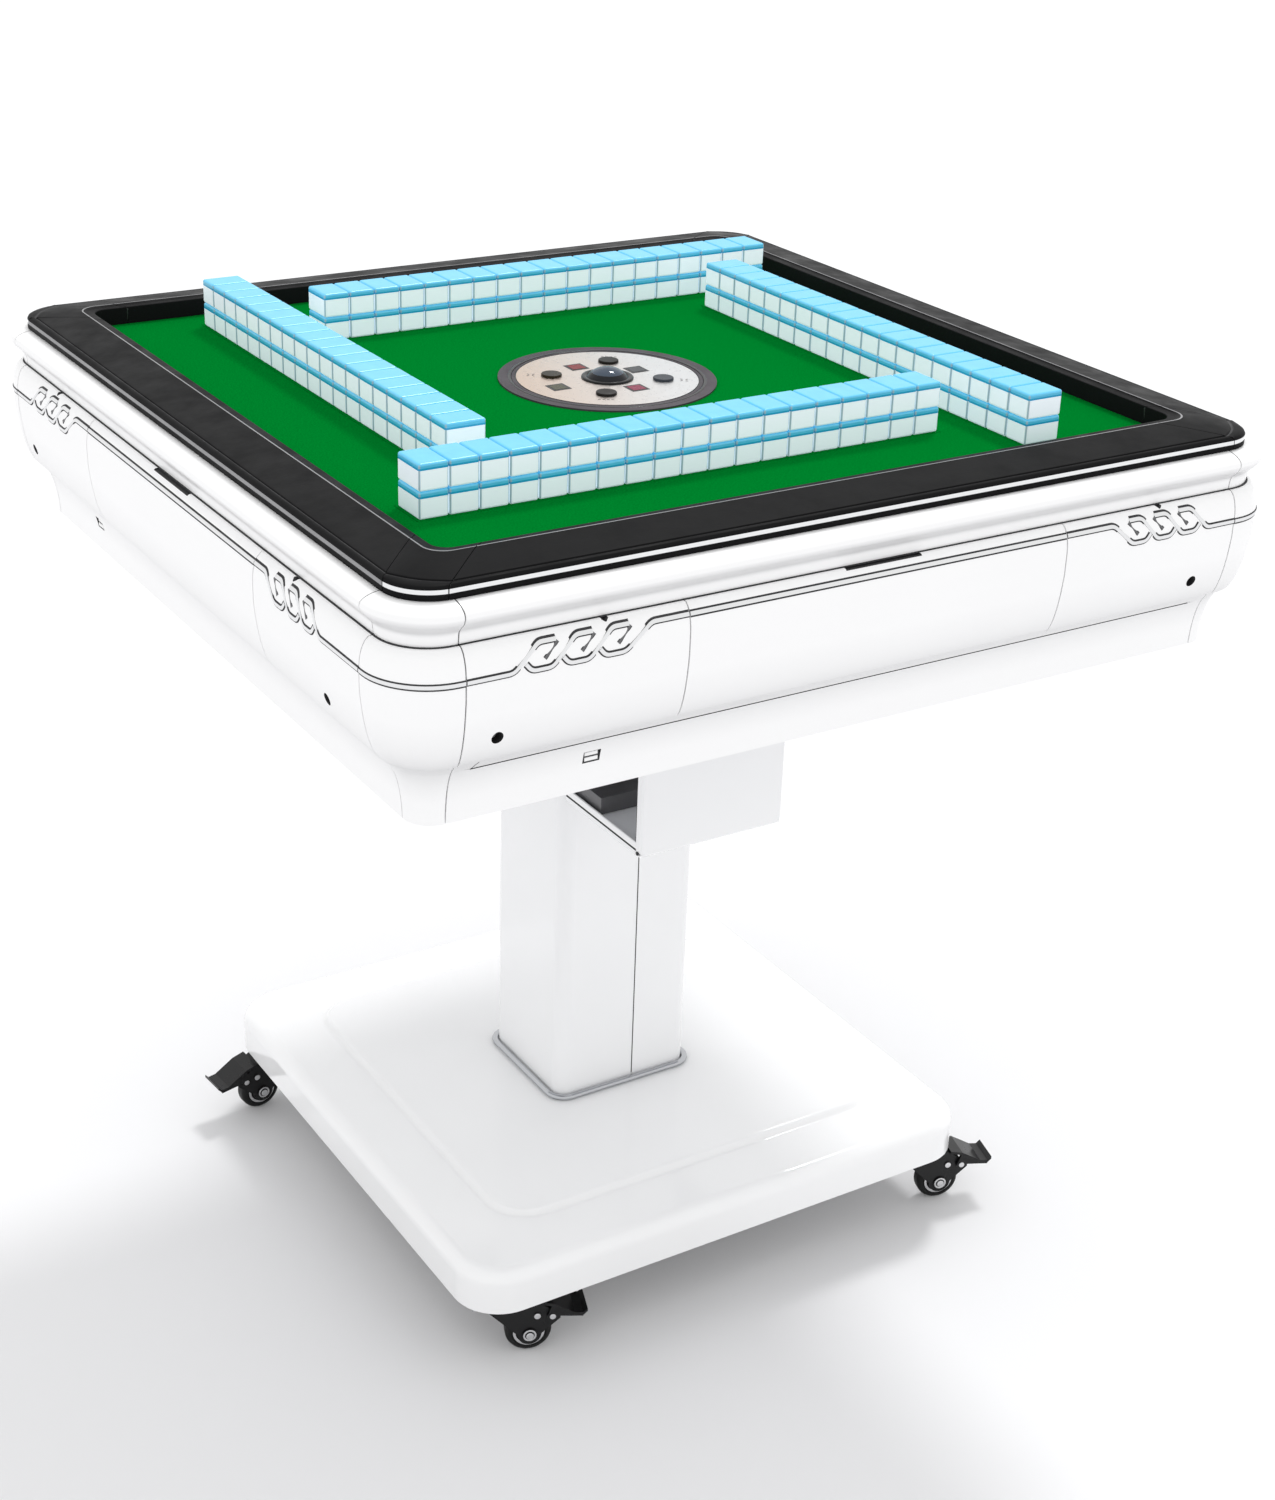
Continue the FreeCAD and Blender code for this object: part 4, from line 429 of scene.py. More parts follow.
def skirt_section(depth):
    """The skirt's closed section, with its groove at a share of the full depth."""
    outer = [(half, z) for half, z in skirt_line if z < GROOVE_LOW - 1]
    for z, deep in ((GROOVE_LOW - 0.3, 0), (GROOVE_LOW, 1), (GROOVE_LOW + GROOVE_TALL, 1),
                    (GROOVE_LOW + GROOVE_TALL + 0.3, 0), (703.5, 0), (705.5, 0), (707.5, 0), (709.0, 0)):
        outer.append((face(z, skirt_line) - deep * depth * GROOVE_DEEP, z))
    return outer + [(412.4, FASCIA_LOW), (SHELL_BACK, FASCIA_LOW), (SHELL_BACK, TRAY_LOW)]


GROOVE_ROW = len([z for half, z in skirt_line if z < GROOVE_LOW - 1]) + 1
FLANGE = 6.0
fascia_section = fascia_line[1:-1] + [
    (421.8, 806.8), (421.2, FASCIA_TOP), (SHELL_BACK, FASCIA_TOP), (SHELL_BACK, FASCIA_TOP - FLANGE),
    (INNER_FACE, FASCIA_TOP - FLANGE), (INNER_FACE, FASCIA_LOW + FLANGE), (SHELL_BACK, FASCIA_LOW + FLANGE),
    (SHELL_BACK, FASCIA_LOW), (415.6, FASCIA_LOW)]
BAND_EDGE, BAND_FLOOR = 807.75, 828.2
band_section = [(SHELL_BACK, BAND_EDGE), (417.9, BAND_EDGE)] + band_line[1:-1] + [
    (414.4, FELT_TOP - 0.1), (RAIL_SEAT, FELT_TOP - 0.1), (RAIL_SEAT, BAND_FLOOR), (SHELL_BACK, BAND_FLOOR)]
# Places along a side where rows of points stand; they lie closer where the loops, notches and screws are.
fascia_places = sorted({*spread(HOLE_EDGE, 238, 12), *spread(238, 262, 3), *spread(262, 290, 8),
                        *spread(290, 310, 2), *spread(310, 340, 6), *spread(340, 360, 1.6), 366, SIDE_END})
skirt_places = [-SIDE_END, -366, -GROOVE_END - 5, -GROOVE_END, *spread(-345, -264, 9), *spread(-264, -236, 3),
                *spread(-228, 345, 20), GROOVE_END, GROOVE_END + 5, 366, SIDE_END]

shells, skirts = Form(), Form()
for sign in (-1, 1):
    shells.grid(along_side(fascia_section, [sign * place for place in fascia_places]), QUARTERS)
# The groove's faces take the dark seam paint: painted shade in the groove.
skirts.grid([[(place, -half, z) for half, z in skirt_section(1.0 if abs(place) <= GROOVE_END else 0.0)]
             for place in skirt_places], QUARTERS,
            paint=lambda i, j: 1 if abs(j - GROOVE_ROW) <= 1 and 3 <= i < len(skirt_places) - 4 else 0)
holes, ports = Form(), Form()
SCREW_LEVEL = 731.0
# Place of the loops' outer end, their length as a share, and the places of notch and screw.
ENDS = {(quarter, sign): (334.0, 1.0, 300.0, 350.0) for quarter in QUARTERS for sign in (-1, 1)}
ENDS[0, -1], ENDS[0, 1] = (335.0, 1.0, 254.0, 345.0), (341.0, 0.9, 288.0, 337.0)
ENDS[3, -1], ENDS[3, 1] = (334.0, 1.0, 274.0, 350.0), (306.0, 0.85, 247.0, 306.0)
SOCKET_AT, SOCKET_HALF, SOCKET_LOW, SOCKET_TALL = -250.0, 7.6, 679.4, 10.4
for quarter in QUARTERS:
    for sign in (-1, 1):
        notch_at, screw_at = ENDS[quarter, sign][2:]
        spot = Form().turning((sign * screw_at, -425, SCREW_LEVEL),
                              [(0, -12), (5.6, -12), (5.6, -1.6), (5.0, -0.6), (5.0, 10), (0, 10)], "Y", 32)
        holes.add(spot.points, spot.faces, spot.paints, (quarter,))
        tip = [(sign * (notch_at - 3.5), -424, 808), (sign * (notch_at + 4), -424, 808),
               (sign * (notch_at + 4), -424, 806.4), (sign * (notch_at + 1), -424, 804.4)]
        holes.grid([tip, [(x, -418, z) for x, y, z in tip]], (quarter,))
    ports.block((SOCKET_AT - SOCKET_HALF, SOCKET_AT + SOCKET_HALF), (-416, -396),
                (SOCKET_LOW, SOCKET_LOW + SOCKET_TALL), (quarter,))
# The walls cut by the screw holes, notches and socket openings take the cutters' dark seam paint: painted shade in
# these recesses.
for form, name, cutter in ((shells, "side_shell_skins", holes), (skirts, "side_skirt_skins", ports)):
    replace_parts(form.piece(name, "top", "white_moulding", [white, seam_grey], cutter=cutter), "side_shells")



def corner_rows_of(section, centre):
    """Rows of a section round the corner, about one centre."""
    return round_corner(section, lambda half: half - centre, lambda half: CORNER_START)


FASCIA_CENTRE, SKIRT_CENTRE, BAND_CENTRE = 378, 375, 377
corner_shells = Form()
corner_shells.grid(corner_rows_of(fascia_section, FASCIA_CENTRE), QUARTERS)
corner_shells.grid(corner_rows_of(skirt_section(0.0), SKIRT_CENTRE), QUARTERS)
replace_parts(corner_shells.piece("corner_shell_skins", "top", "white_moulding", [white]), "shell_corners")

bands = Form().grid(along_side(band_section, [-SIDE_END, -360, -180, 0, 180, 360, SIDE_END]), QUARTERS)
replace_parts(bands.piece("band_skins", "top", "white_moulding", [white]), "frame_bands")
band_corner = Form().grid(corner_rows_of(band_section, BAND_CENTRE), QUARTERS)
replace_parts(band_corner.piece("band_corner_skins", "top", "white_moulding", [white]), "frame_corners")

# Painted shade: dark strips put in the gap under the band, where the upper frame meets the body, and behind the corner
# seams, where only shade falls.
seam_shade_form = Form()
gap_section = [(415.0, FASCIA_TOP + 0.05), (419.4, FASCIA_TOP + 0.05), (416.9, BAND_EDGE - 0.05),
               (415.0, BAND_EDGE - 0.05)]
seam_shade_form.grid(along_side(gap_section, [-SIDE_END, SIDE_END]), QUARTERS)
seam_shade_form.grid(corner_rows_of(gap_section, FASCIA_CENTRE), QUARTERS)
SEAM_DEEP, SEAM_BACK = 1.3, 400.0
for section in (fascia_line, band_line):
    for sign in (-1, 1):
        outer = [(half - SEAM_DEEP, z) for half, z in section]
        blade = outer + [(SEAM_BACK, outer[-1][1]), (SEAM_BACK, outer[0][1])]
        seam_shade_form.grid([[(sign * place, -half, z) for half, z in blade] for place in (SIDE_END, CORNER_START)], QUARTERS)
# The groove's short slanting end on each side's left, drawn as a dark strip of painted shade.
TICK_STEPS, TICK_WIDE, TICK_TALL, TICK_LOW = 7, 5.6, 8.0, 700.8
tick = []
for step in range(TICK_STEPS + 1):
    x, z = -GROOVE_END + TICK_WIDE * step / TICK_STEPS, TICK_LOW + TICK_TALL * step / TICK_STEPS
    out = face(z, skirt_line)
    tick.append([(x + wide, deep - out, z) for wide, deep in
                 ((-0.5, 0.8), (-0.35, -0.12), (0.35, -0.12), (0.5, 0.8))])
seam_shade_form.grid(tick, QUARTERS)
seam_shade_form.piece("seam_shade_strips", "top", "inner_black", [seam_grey])


# ---------- silver trim ----------
def strip(form, path, section, sign=1, quarters=QUARTERS, paint=None):
    """A strip that follows a path of (place, level) on the fascia; the section is (across, proud) pairs."""
    rows = []
    for i, here in enumerate(path):
        way = (path[min(i + 1, len(path) - 1)] - path[max(i - 1, 0)]).normalized()
        rows.append([(sign * (here.x - way.y * across), -face(here.y + way.x * across) - proud,
                      here.y + way.x * across) for across, proud in section])
    return form.grid(rows, quarters, paint=(lambda i, j: paint[j]) if paint else None)


# A bright bead runs low at the corners and high along the side, with three linked loops between; its flanks are
# painted dark, as painted shade beside the bead. The folds inside the loops are dark strips of painted shade.
LOW_LINE, HIGH_LINE, LOOP_PITCH, LOOPS_END, TURN_RADIUS = 782.0, 799.2, 31.0, 334.0, 4
BEAD = [(-3.1, -0.5), (-2.95, 0.12), (-1.7, 0.15), (-1.5, 0.65), (-0.7, 0.85), (0.7, 0.85), (1.5, 0.65),
        (1.7, 0.15), (2.6, 0.12), (2.75, -0.5)]
BEAD_PAINT = [1, 1, 1, 0, 0, 0, 1, 1, 1, 1]
FOLD = [(-2.2, -0.5), (-2.0, 0.25), (-1.2, 0.45), (0.6, 0.3), (1.5, 0.2), (1.6, -0.5)]
FOLD_PAINT = [1, 1, 2, 1, 1, 1]
trims = Form()
for (quarter, sign), (outer_end, share, _, _) in ENDS.items():
    def spot(x, z):
        """A point of the loops, moved and shortened with its end of the side."""
        return (x if x in (SIDE_END, HOLE_EDGE) else outer_end - (LOOPS_END - x) * share, z)

    path = rounded([spot(SIDE_END, LOW_LINE), spot(LOOPS_END, LOW_LINE), spot(313, HIGH_LINE + 2),
                    spot(298, HIGH_LINE + 2)], TURN_RADIUS)
    strip(trims, path, BEAD, sign, (quarter,), BEAD_PAINT)
    for number in range(3):
        shift = LOOP_PITCH * number
        path = [spot(324 - shift, LOW_LINE + 5), spot(319 - shift, LOW_LINE - 1), spot(302 - shift, LOW_LINE - 1)]
        if number == 2:
            path += [spot(279 - shift, HIGH_LINE), spot(HOLE_EDGE, HIGH_LINE)]
        else:
            path += [spot(282 - shift, HIGH_LINE + 2), spot(267 - shift, HIGH_LINE + 2)]
        strip(trims, rounded(path, TURN_RADIUS), BEAD, sign, (quarter,), BEAD_PAINT)
        fold = [spot(297.0 - shift, HIGH_LINE + 0.8), spot(308.5 - shift, HIGH_LINE - 10.5)]
        strip(trims, [Vector(point) for point in fold], FOLD, sign, (quarter,), FOLD_PAINT)
bead_round = [(face(LOW_LINE + across) + proud, LOW_LINE + across) for across, proud in BEAD]
trims.grid(corner_rows_of(bead_round, FASCIA_CENTRE), QUARTERS, paint=lambda i, j: BEAD_PAINT[j])
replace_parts(trims.piece("trim_beads", "top", "trim_silver", [silver, seam_grey, dark_steel]), "trim_strips")


# ---------- drawers ----------
def tub(form, x, y, z, wall, quarters):
    """An open box with a wall and floor of one thickness."""
    form.block((-x, x), y, (z[0], z[0] + wall), quarters)
    form.block((-x, x), (y[0], y[0] + wall), z, quarters)
    form.block((-x, x), (y[1] - wall, y[1]), z, quarters)
    form.block((-x, wall - x), y, z, quarters)
    form.block((x - wall, x), y, z, quarters)


# The drawer's front has the fascia's section; a finger slot is let into the middle of its top edge.
FRONT_LOW = 710.9
front_section = fascia_line[1:-1] + [(421.8, 806.8), (421.2, FASCIA_TOP), (INNER_FACE, FASCIA_TOP),
                                     (INNER_FACE, FRONT_LOW), (415.4, FRONT_LOW)]
front_section[0] = (front_section[0][0], FRONT_LOW + 0.5)
SLOT_HALF, SLOT_LOW, SLOT_BACK, FRONT_STEP, SLOT_STEP = 37.0, 805.7, 416.5, 12, 9
slot_section = [(half, z) if z < SLOT_LOW else (face(SLOT_LOW), SLOT_LOW) for half, z in front_section]
front_top = len(fascia_line) - 2
slot_section[front_top:] = [(SLOT_BACK, SLOT_LOW), (SLOT_BACK, FASCIA_TOP), *front_section[-3:]]
drawer_rows = []
for places, section in ((spread(-DRAWER_EDGE, -SLOT_HALF, FRONT_STEP), front_section),
                        (spread(-SLOT_HALF, SLOT_HALF, SLOT_STEP), slot_section),
                        (spread(SLOT_HALF, DRAWER_EDGE, FRONT_STEP), front_section)):
    drawer_rows += along_side(section, places)
slot_first = len(spread(-DRAWER_EDGE, -SLOT_HALF, FRONT_STEP)) - 1
slot_last = slot_first + len(spread(-SLOT_HALF, SLOT_HALF, SLOT_STEP))


def front_paint(i, j):
    """Painted shade in the finger slot."""
    return 2 if slot_first <= i <= slot_last and front_top - 1 <= j <= front_top else 0


TUB_HALF, TUB_DEEP, TUB_TALL, TUB_WALL = 150.0, (-411.2, -275.0), (719.0, 785.0), 3.0
for quarter, side in enumerate(SIDES):
    drawer = Form().grid(drawer_rows, (quarter,), paint=front_paint)
    tub(drawer, TUB_HALF, TUB_DEEP, TUB_TALL, TUB_WALL, (quarter,))
    # The drawer's bead has the same painted shade on its flanks.
    strip(drawer, [Vector((x, HIGH_LINE)) for x in (-DRAWER_EDGE, 0.0, DRAWER_EDGE)], BEAD, 1, (quarter,),
          [2 if mark else 1 for mark in BEAD_PAINT])
    made = drawer.piece("drawer_front_skin_" + side, "drawer_" + side, "white_moulding", [white, silver, seam_grey])
    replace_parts(made, "drawer_" + side)

# Socket inserts: a pale face in a dark frame, with a dark bar across it. Screws lie at the bottom of their holes.
insert = Form()
for quarter in QUARTERS:
    for low, high in ((1.5, 4.6), (5.9, 9.0)):
        insert.block((SOCKET_AT - 5.9, SOCKET_AT + 5.9), (-399.6, -392.0), (SOCKET_LOW + low, SOCKET_LOW + high),
                     (quarter,))
    insert.block((SOCKET_AT - 7.5, SOCKET_AT + 7.5), (-399.0, -396.2), (SOCKET_LOW + 0.1, SOCKET_LOW + 10.3),
                 (quarter,), 1)
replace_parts(insert.piece("usb_inserts", "top", "inner_black", [white, inner_black], bevel=0.25), "usb_sockets")
screws = Form()
for (quarter, sign), (_, _, _, screw_at) in ENDS.items():
    screw = Form().turning((sign * screw_at, 0, SCREW_LEVEL),
                           [(0, -414.0), (1.6, -414.0), (2.0, -415.6), (3.6, -415.9), (4.3, -415.4), (4.6, -414.6),
                            (4.6, -410.0), (0, -410.0)], "Y", 32)
    screws.add(screw.points, screw.faces, screw.paints, (quarter,))
screw_grey = metal("screw_head", (0.3, 0.3, 0.31), 0.35, 300.0, 0.05)
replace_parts(screws.piece("screw_heads", "top", "bright_steel", [screw_grey]), "shell_screws")


# ---------- rail ----------
rail_outer = [(413.0, 840.3), (413.0, 844.6), (413.0, 845.0), (413.0, 846.6), (412.9, 848.4), (412.6, 848.9),
              (412.0, 850.0), (411.0, 851.0), (409.6, 851.7), (408.0, 851.7), (407.4, 851.1), (406.6, 851.1),
              (406.0, 852.2)]
RAIL_GROOVE = 9
rail_inner = [(404.0, 852.7), (386.0, 855.4), (369.6, 857.6), (368.4, 857.9), (367.2, 857.9), (366.2, 857.2),
              (365.4, 856.7), (359.4, 856.5), (358.3, 856.1), (358.0, 855.4), (358.0, 840.3)]
RAIL_CREASE = len(rail_outer) + 3
rail_section = rail_outer + rail_inner
RAIL_HALF, RAIL_END, RAIL_SLANT, RAIL_GAP, SEAM_END = 413, 378, 56 / 55, 0.3, 0.6


def rail_paint(i, j):
    """Painted highlights on the lip and the crease, and the dark groove, on the black rail."""
    if 2 <= j <= 3:
        return 1
    if j in (RAIL_GROOVE, RAIL_GROOVE + 1):
        return 2
    return 3 if j == RAIL_CREASE else 0


def rail_end(half):
    """Where a rail ends; its seam runs slanting in to the felt."""
    return RAIL_END - (RAIL_HALF - half) * RAIL_SLANT


def rail_corner_of(half):
    """The rounding of the rail's corner, wide outside and small at the felt."""
    return 38 - (RAIL_HALF - half) if half > 405 else 14 + (half - 358) * 16 / 47 if half > 367 else 14 + half - 358


rail_paints = [rail_black, rail_gleam, seam_grey, rail_dim_highlight]
rail = Form()
# The lip carries a painted highlight: white on the front and back, dim grey on the left and right, which lie more in
# shade.
for quarters, gleam in (((0, 2), 1), ((1, 3), 3)):
    rail.grid(along_side(rail_section, [-1, -0.97, -0.6, 0, 0.6, 0.97, 1], lambda half: rail_end(half) - RAIL_GAP),
              quarters, paint=lambda i, j: rail_paint(i, j) if rail_paint(i, j) != 1 else gleam)
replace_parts(rail.piece("rail_skins", "top", "rail_black", rail_paints), "rails")


CHAMFER_FLAT, CHAMFER_BOW = 0.096, 5.0


def chamfer(half, t):
    """A nearly straight line across the corner, from one rail's seam to the other's."""
    start = rail_end(half) + SEAM_END
    across = min(max((t - CHAMFER_FLAT / 2) / (1 - CHAMFER_FLAT), 0), 1)
    x = start + (half - start) * across
    bow = CHAMFER_BOW * sin(pi * t)
    return x + bow * 0.707, -(half - (half - start) * across) - bow * 0.707


corner_rows = round_corner(rail_section, rail_corner_of, lambda half: rail_end(half) + SEAM_END)
last = len(corner_rows) - 1
# Rows next to the lip pass from the round corner to the chamfer, rows past the crease back to the inner corner.
for i, row in enumerate(corner_rows):
    for j in range(7, len(rail_outer)):
        half, z = rail_section[j]
        x, y = chamfer(half, i / last)
        if j <= 8:
            (x0, y0), share = row[6][:2], (0.35, 0.8)[j - 7]
            x, y = x0 + (x - x0) * share, y0 + (y - y0) * share
        row[j] = (x, y, z)
    for j in (len(rail_outer), len(rail_outer) + 1):
        half, z = rail_section[j]
        share = (406 - half) / (406 - 369.6)
        x0, y0 = chamfer(406, i / last)
        x1, y1 = row[len(rail_outer) + 2][:2]
        row[j] = (x0 + (x1 - x0) * share, y0 + (y1 - y0) * share, z)
rail_corner = Form().grid(corner_rows, QUARTERS, paint=rail_paint)
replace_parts(rail_corner.piece("rail_corner_skins", "top", "rail_black", rail_paints), "rail_corners")
# Painted shade: dark strips in the seams at the rails' ends.
rail_seams = Form()
seam_line = [(half - 0.5, z - 1.0) for half, z in rail_section[4:-1]] + [(358.6, 841.0), (412.0, 841.0)]
for sign in (-1, 1):
    rail_seams.grid([[(sign * (rail_end(half) + gap), -half, z) for half, z in seam_line] for gap in (-0.2, 0.5)],
                    QUARTERS)
rail_seams.piece("rail_seam_shade_strips", "top", "inner_black", [inner_black])

# ---------- base cover, collar ----------
COVER_HALF, COVER_ROUND, COVER_FOOT, COVER_SIDE, COVER_ROLL, PANEL_ROUND_AT = 282, 46, 70.2, 99, 14, 214
COVER_TOP = 100 + COVER_ROLL
cover_rings = [(COVER_HALF, COVER_ROUND, COVER_FOOT), (COVER_HALF, COVER_ROUND, COVER_SIDE)]
for step in range(1, 9):
    angle = pi / 2 * step / 8
    sink = COVER_ROLL * (1 - cos(angle))
    cover_rings.append((COVER_HALF - sink, COVER_ROUND - sink * 0.9, 100 + COVER_ROLL * sin(angle)))
for out, up in ((226, 0), (219, 0.0), (217.6, 0.25), (216.4, 1.0), (214.9, 3.0), (213.4, 5.0), (212.2, 5.75),
                (210.8, 6), (200, 6)):
    cover_rings.append((out, 40 + (out - PANEL_ROUND_AT) * 0.6, COVER_TOP + up))
cover_rows = [ring(half, half, round_of, z) for half, round_of, z in cover_rings]
cover_rows += [ring(45, 41, 5, 120), ring(45, 41, 5, 116), ring(204, 204, 30, 116), ring(214, 214, 36, 110),
               ring(266, 266, 32, 110), ring(277, 277, 40, 104), ring(278, 278, 42, 96),
               ring(278, 278, 42, COVER_FOOT)]
cover = Form().grid(cover_rows, loop=True)
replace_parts(cover.piece("base_cover_skin", "base", "white_steel", [base_white]), "base_cover")

COLUMN_HALF_X, COLUMN_HALF_Y, COLUMN_ROUND, COLLAR_OFF, COLLAR_LEVEL = 76, 67, 14, 3.8, 123.0
COLLAR_STEPS, COLLAR_WIDE, COLLAR_TALL = 12, 3.4, 2.9
collar_rows = []
for step in range(COLLAR_STEPS):
    angle = 2 * pi * step / COLLAR_STEPS
    off = COLLAR_OFF + COLLAR_WIDE * cos(angle)
    collar_rows.append(ring(COLUMN_HALF_X + off, COLUMN_HALF_Y + off, COLUMN_ROUND + off,
                            COLLAR_LEVEL + COLLAR_TALL * sin(angle), 14))
collar = Form().grid(collar_rows, loop=True)
chrome = metal("collar_chrome", (0.5, 0.51, 0.53), 0.07, 60.0, 0.02)
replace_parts(collar.piece("collar_bead", "base", "trim_silver", [chrome]), "column_collar")

# ---------- felt ----------
FELT_HALF, FELT_CORNER, HOLE_RADIUS = 400.7, 24.0, 92.3
SLOT_LONG, SLOT_WIDE, SLOT_X, SLOT_Y = 505.8, 41.6, -72.4, -240.0
HOLE_HALF, FELT_FOOT, FELT_THICK = 48, 0.8382, 0.0018
outlines = [[(x, y) for x, y, z in ring(FELT_HALF, FELT_HALF, FELT_CORNER, 0, 8)],
            [(HOLE_RADIUS * cos(angle), HOLE_RADIUS * sin(angle))
             for angle in (pi * i / HOLE_HALF for i in range(2 * HOLE_HALF))]]
for quarter in QUARTERS:
    outlines.append([turned((SLOT_X + a * SLOT_LONG / 2, SLOT_Y + b * SLOT_WIDE / 2, 0), quarter)[:2]
                     for a, b in ((-1, -1), (1, -1), (1, 1), (-1, 1))])
work = bmesh.new()
edges = []
for outline in outlines:
    corners = [work.verts.new((x * MM, y * MM, FELT_FOOT)) for x, y in outline]
    edges += [work.edges.new((a, b)) for a, b in zip(corners, corners[1:] + corners[:1])]
bmesh.ops.triangle_fill(work, edges=edges, use_beauty=True)
raised = bmesh.ops.extrude_face_region(work, geom=work.faces[:])
bmesh.ops.translate(work, vec=(0, 0, FELT_THICK),
                    verts=[v for v in raised["geom"] if isinstance(v, bmesh.types.BMVert)])
bmesh.ops.recalc_face_normals(work, faces=work.faces)
cloth_mesh = bpy.data.meshes.new("felt_cloth")
work.to_mesh(cloth_mesh)
work.free()
cloth = bpy.data.objects.new("felt_cloth", cloth_mesh)
scene.collection.objects.link(cloth)
cloth_mesh.materials.append(felt.material)
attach(cloth, "top")
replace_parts(cloth, "felt")

# ---------- finish of the CAD nodes ----------
FINISH = {
    steel_white: ("column_shell_left", "column_shell_right"),
    inner_paint: ("column_post", "chassis_tray", "tilt_bracket"),
    under_paint: ("base_frame",),
    zinc: ("caster_plates", "tilt_pin", "lock_lever"),
    felt: tuple("lift_" + side for side in SIDES),
    board: ("top_board",),
    tile: tuple("tiles_" + side for side in SIDES),
    dark_plastic: ("dice_tray",),
    resin_white: ("dice",),
    rubber: tuple("caster_wheel_" + corner for corner in CORNERS),
    caster_black: tuple("caster_%s_%s" % (kind, corner) for kind in ("fork", "pedal") for corner in CORNERS),
    inner_black: ("turntable", "power_inlet"),
    motor: ("turntable_motor",),
}
for shader, names in FINISH.items():
    paint_nodes(shader, names)
# Small rounded edges on the casters' pressed and moulded pieces.
EDGE_WIDE, EDGE_ANGLE = 0.5, 38
for name in FINISH[caster_black]:
    change = NODES[name].modifiers.new("edges", "BEVEL")
    change.width = EDGE_WIDE * MM
    change.segments = 2
    change.limit_method = "ANGLE"
    change.angle_limit = radians(EDGE_ANGLE)
    change.harden_normals = True


# ---------- lock box ----------
LOCK_HALF, LOCK_FRONT, LOCK_REAR, LOCK_LOW, LOCK_TOP = 77.0, 205.0, 71.0, 460.0, 655.0
LOCK_PANEL, LOCK_SHEET, INNER_HALF, COLUMN_TOP = 196.5, 2, 76.6, 512


def upright(half_x, half_z, corner, y):
    """A rounded rectangle that stands across the front, about the lock box's middle."""
    return [(x, y, (LOCK_LOW + LOCK_TOP) / 2 + z) for x, z, _ in ring(half_x, half_z, corner, 0, 8)]


lock = Form()
tall = (LOCK_TOP - LOCK_LOW) / 2
lock.grid([upright(LOCK_HALF, tall, 7, -LOCK_PANEL), upright(LOCK_HALF, tall, 7, -202.2),
           upright(LOCK_HALF - 0.5, tall - 0.5, 6.5, -203.6), upright(LOCK_HALF - 1.4, tall - 1.4, 6, -204.6),
           upright(LOCK_HALF - 3.0, tall - 3.0, 5, -LOCK_FRONT), upright(LOCK_HALF - 30, tall - 30, 5, -LOCK_FRONT)])
lock.block((-INNER_HALF, INNER_HALF), (-203, -LOCK_REAR), (LOCK_LOW, LOCK_LOW + LOCK_SHEET))
lock.block((-INNER_HALF, INNER_HALF), (-203, -LOCK_REAR), (LOCK_TOP - LOCK_SHEET, LOCK_TOP), paint=2)
for sign in (-1, 1):
    # The lip's groove takes the dark seam paint, as do the thin panel and floor edges: painted shade.
    lip = [(sign * 77.0, LOCK_LOW), (sign * 77.0, LOCK_LOW + 4.6), (sign * 76.2, LOCK_LOW + 4.9),
           (sign * 76.2, LOCK_LOW + 6.1), (sign * 76.9, LOCK_LOW + 6.4), (sign * 76.9, LOCK_LOW + 12.4),
           (sign * 76.0, LOCK_LOW + 13.0), (sign * 74.6, LOCK_LOW + 12.6), (sign * 74.6, LOCK_LOW)]
    lock.grid([[(x, y, z) for x, z in lip] for y in (-LOCK_PANEL, -LOCK_REAR)],
              paint=lambda i, j: 1 if 1 <= j <= 3 else 0)
    # Panel edge, floor edge, dark carrier, rear panel and the cheek of the lever: limits in x, y and z, and paint.
    for x, y, z, paint in (((76.4, 74.8), (-196.6, -194.8), (LOCK_LOW + 3, LOCK_TOP - 2), 1),
                           ((74.4, 72.6), (-195, -72), (LOCK_LOW + 2, LOCK_LOW + 10.5), 1),
                           ((72.6, 17.0), (-128, -73), (LOCK_LOW + 9, LOCK_LOW + 26), 3),
                           ((72.6, 17.0), (-73, -71.2), (LOCK_LOW + 2, COLUMN_TOP), 2),
                           ((13.5, 16.0), (-123, -79), (563, LOCK_TOP - 1), 2)):
        lock.block(sorted((sign * x[0], sign * x[1])), y, z, paint=paint)
    lock.turning((sign * 77, -200, LOCK_LOW + 3.4), [(0, -1), (1.9, -1), (1.9, 0.2), (1.3, 0.5), (0, 0.5)], "X", 16,
                 paint=lambda i, j: 1)
lock.block((-73, 73), (-73, -71.2), (COLUMN_TOP, LOCK_TOP - LOCK_SHEET), paint=2)
lock.block((-74.4, 74.4), (-196, -73), (LOCK_LOW + LOCK_SHEET, LOCK_LOW + 8.5), paint=4)
lock.turning((0, -101, 585), [(0, -13.5), (4, -13.5), (4, 13.5), (0, 13.5)], "X", 24, paint=lambda i, j: 3)
lock_dark = moulded("lock_inside", (0.028, 0.024, 0.021), 0.5, grain=0.05, drift=0.7)
lock_grey = moulded("lock_rail", (0.1, 0.1, 0.105), 0.35, grain=0.05)
lock_floor = moulded("lock_floor", (0.85, 0.86, 0.88), 0.3, grain=0.05)
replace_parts(lock.piece("lock_housing", "top", "white_steel",
                       [steel_white, seam_grey, lock_dark, lock_grey, lock_floor], bevel=0.5), "lock_box")

# Painted shade: a dark strip in the seam between the column's two cover halves, front and back.
seam_shade_block = Form().block((9.45, 10.55), (-67.12, -64.0), (126.5, 603.0), (0, 2))
seam_shade_block.piece("column_seam_shade", "base", "inner_black", [seam_grey])

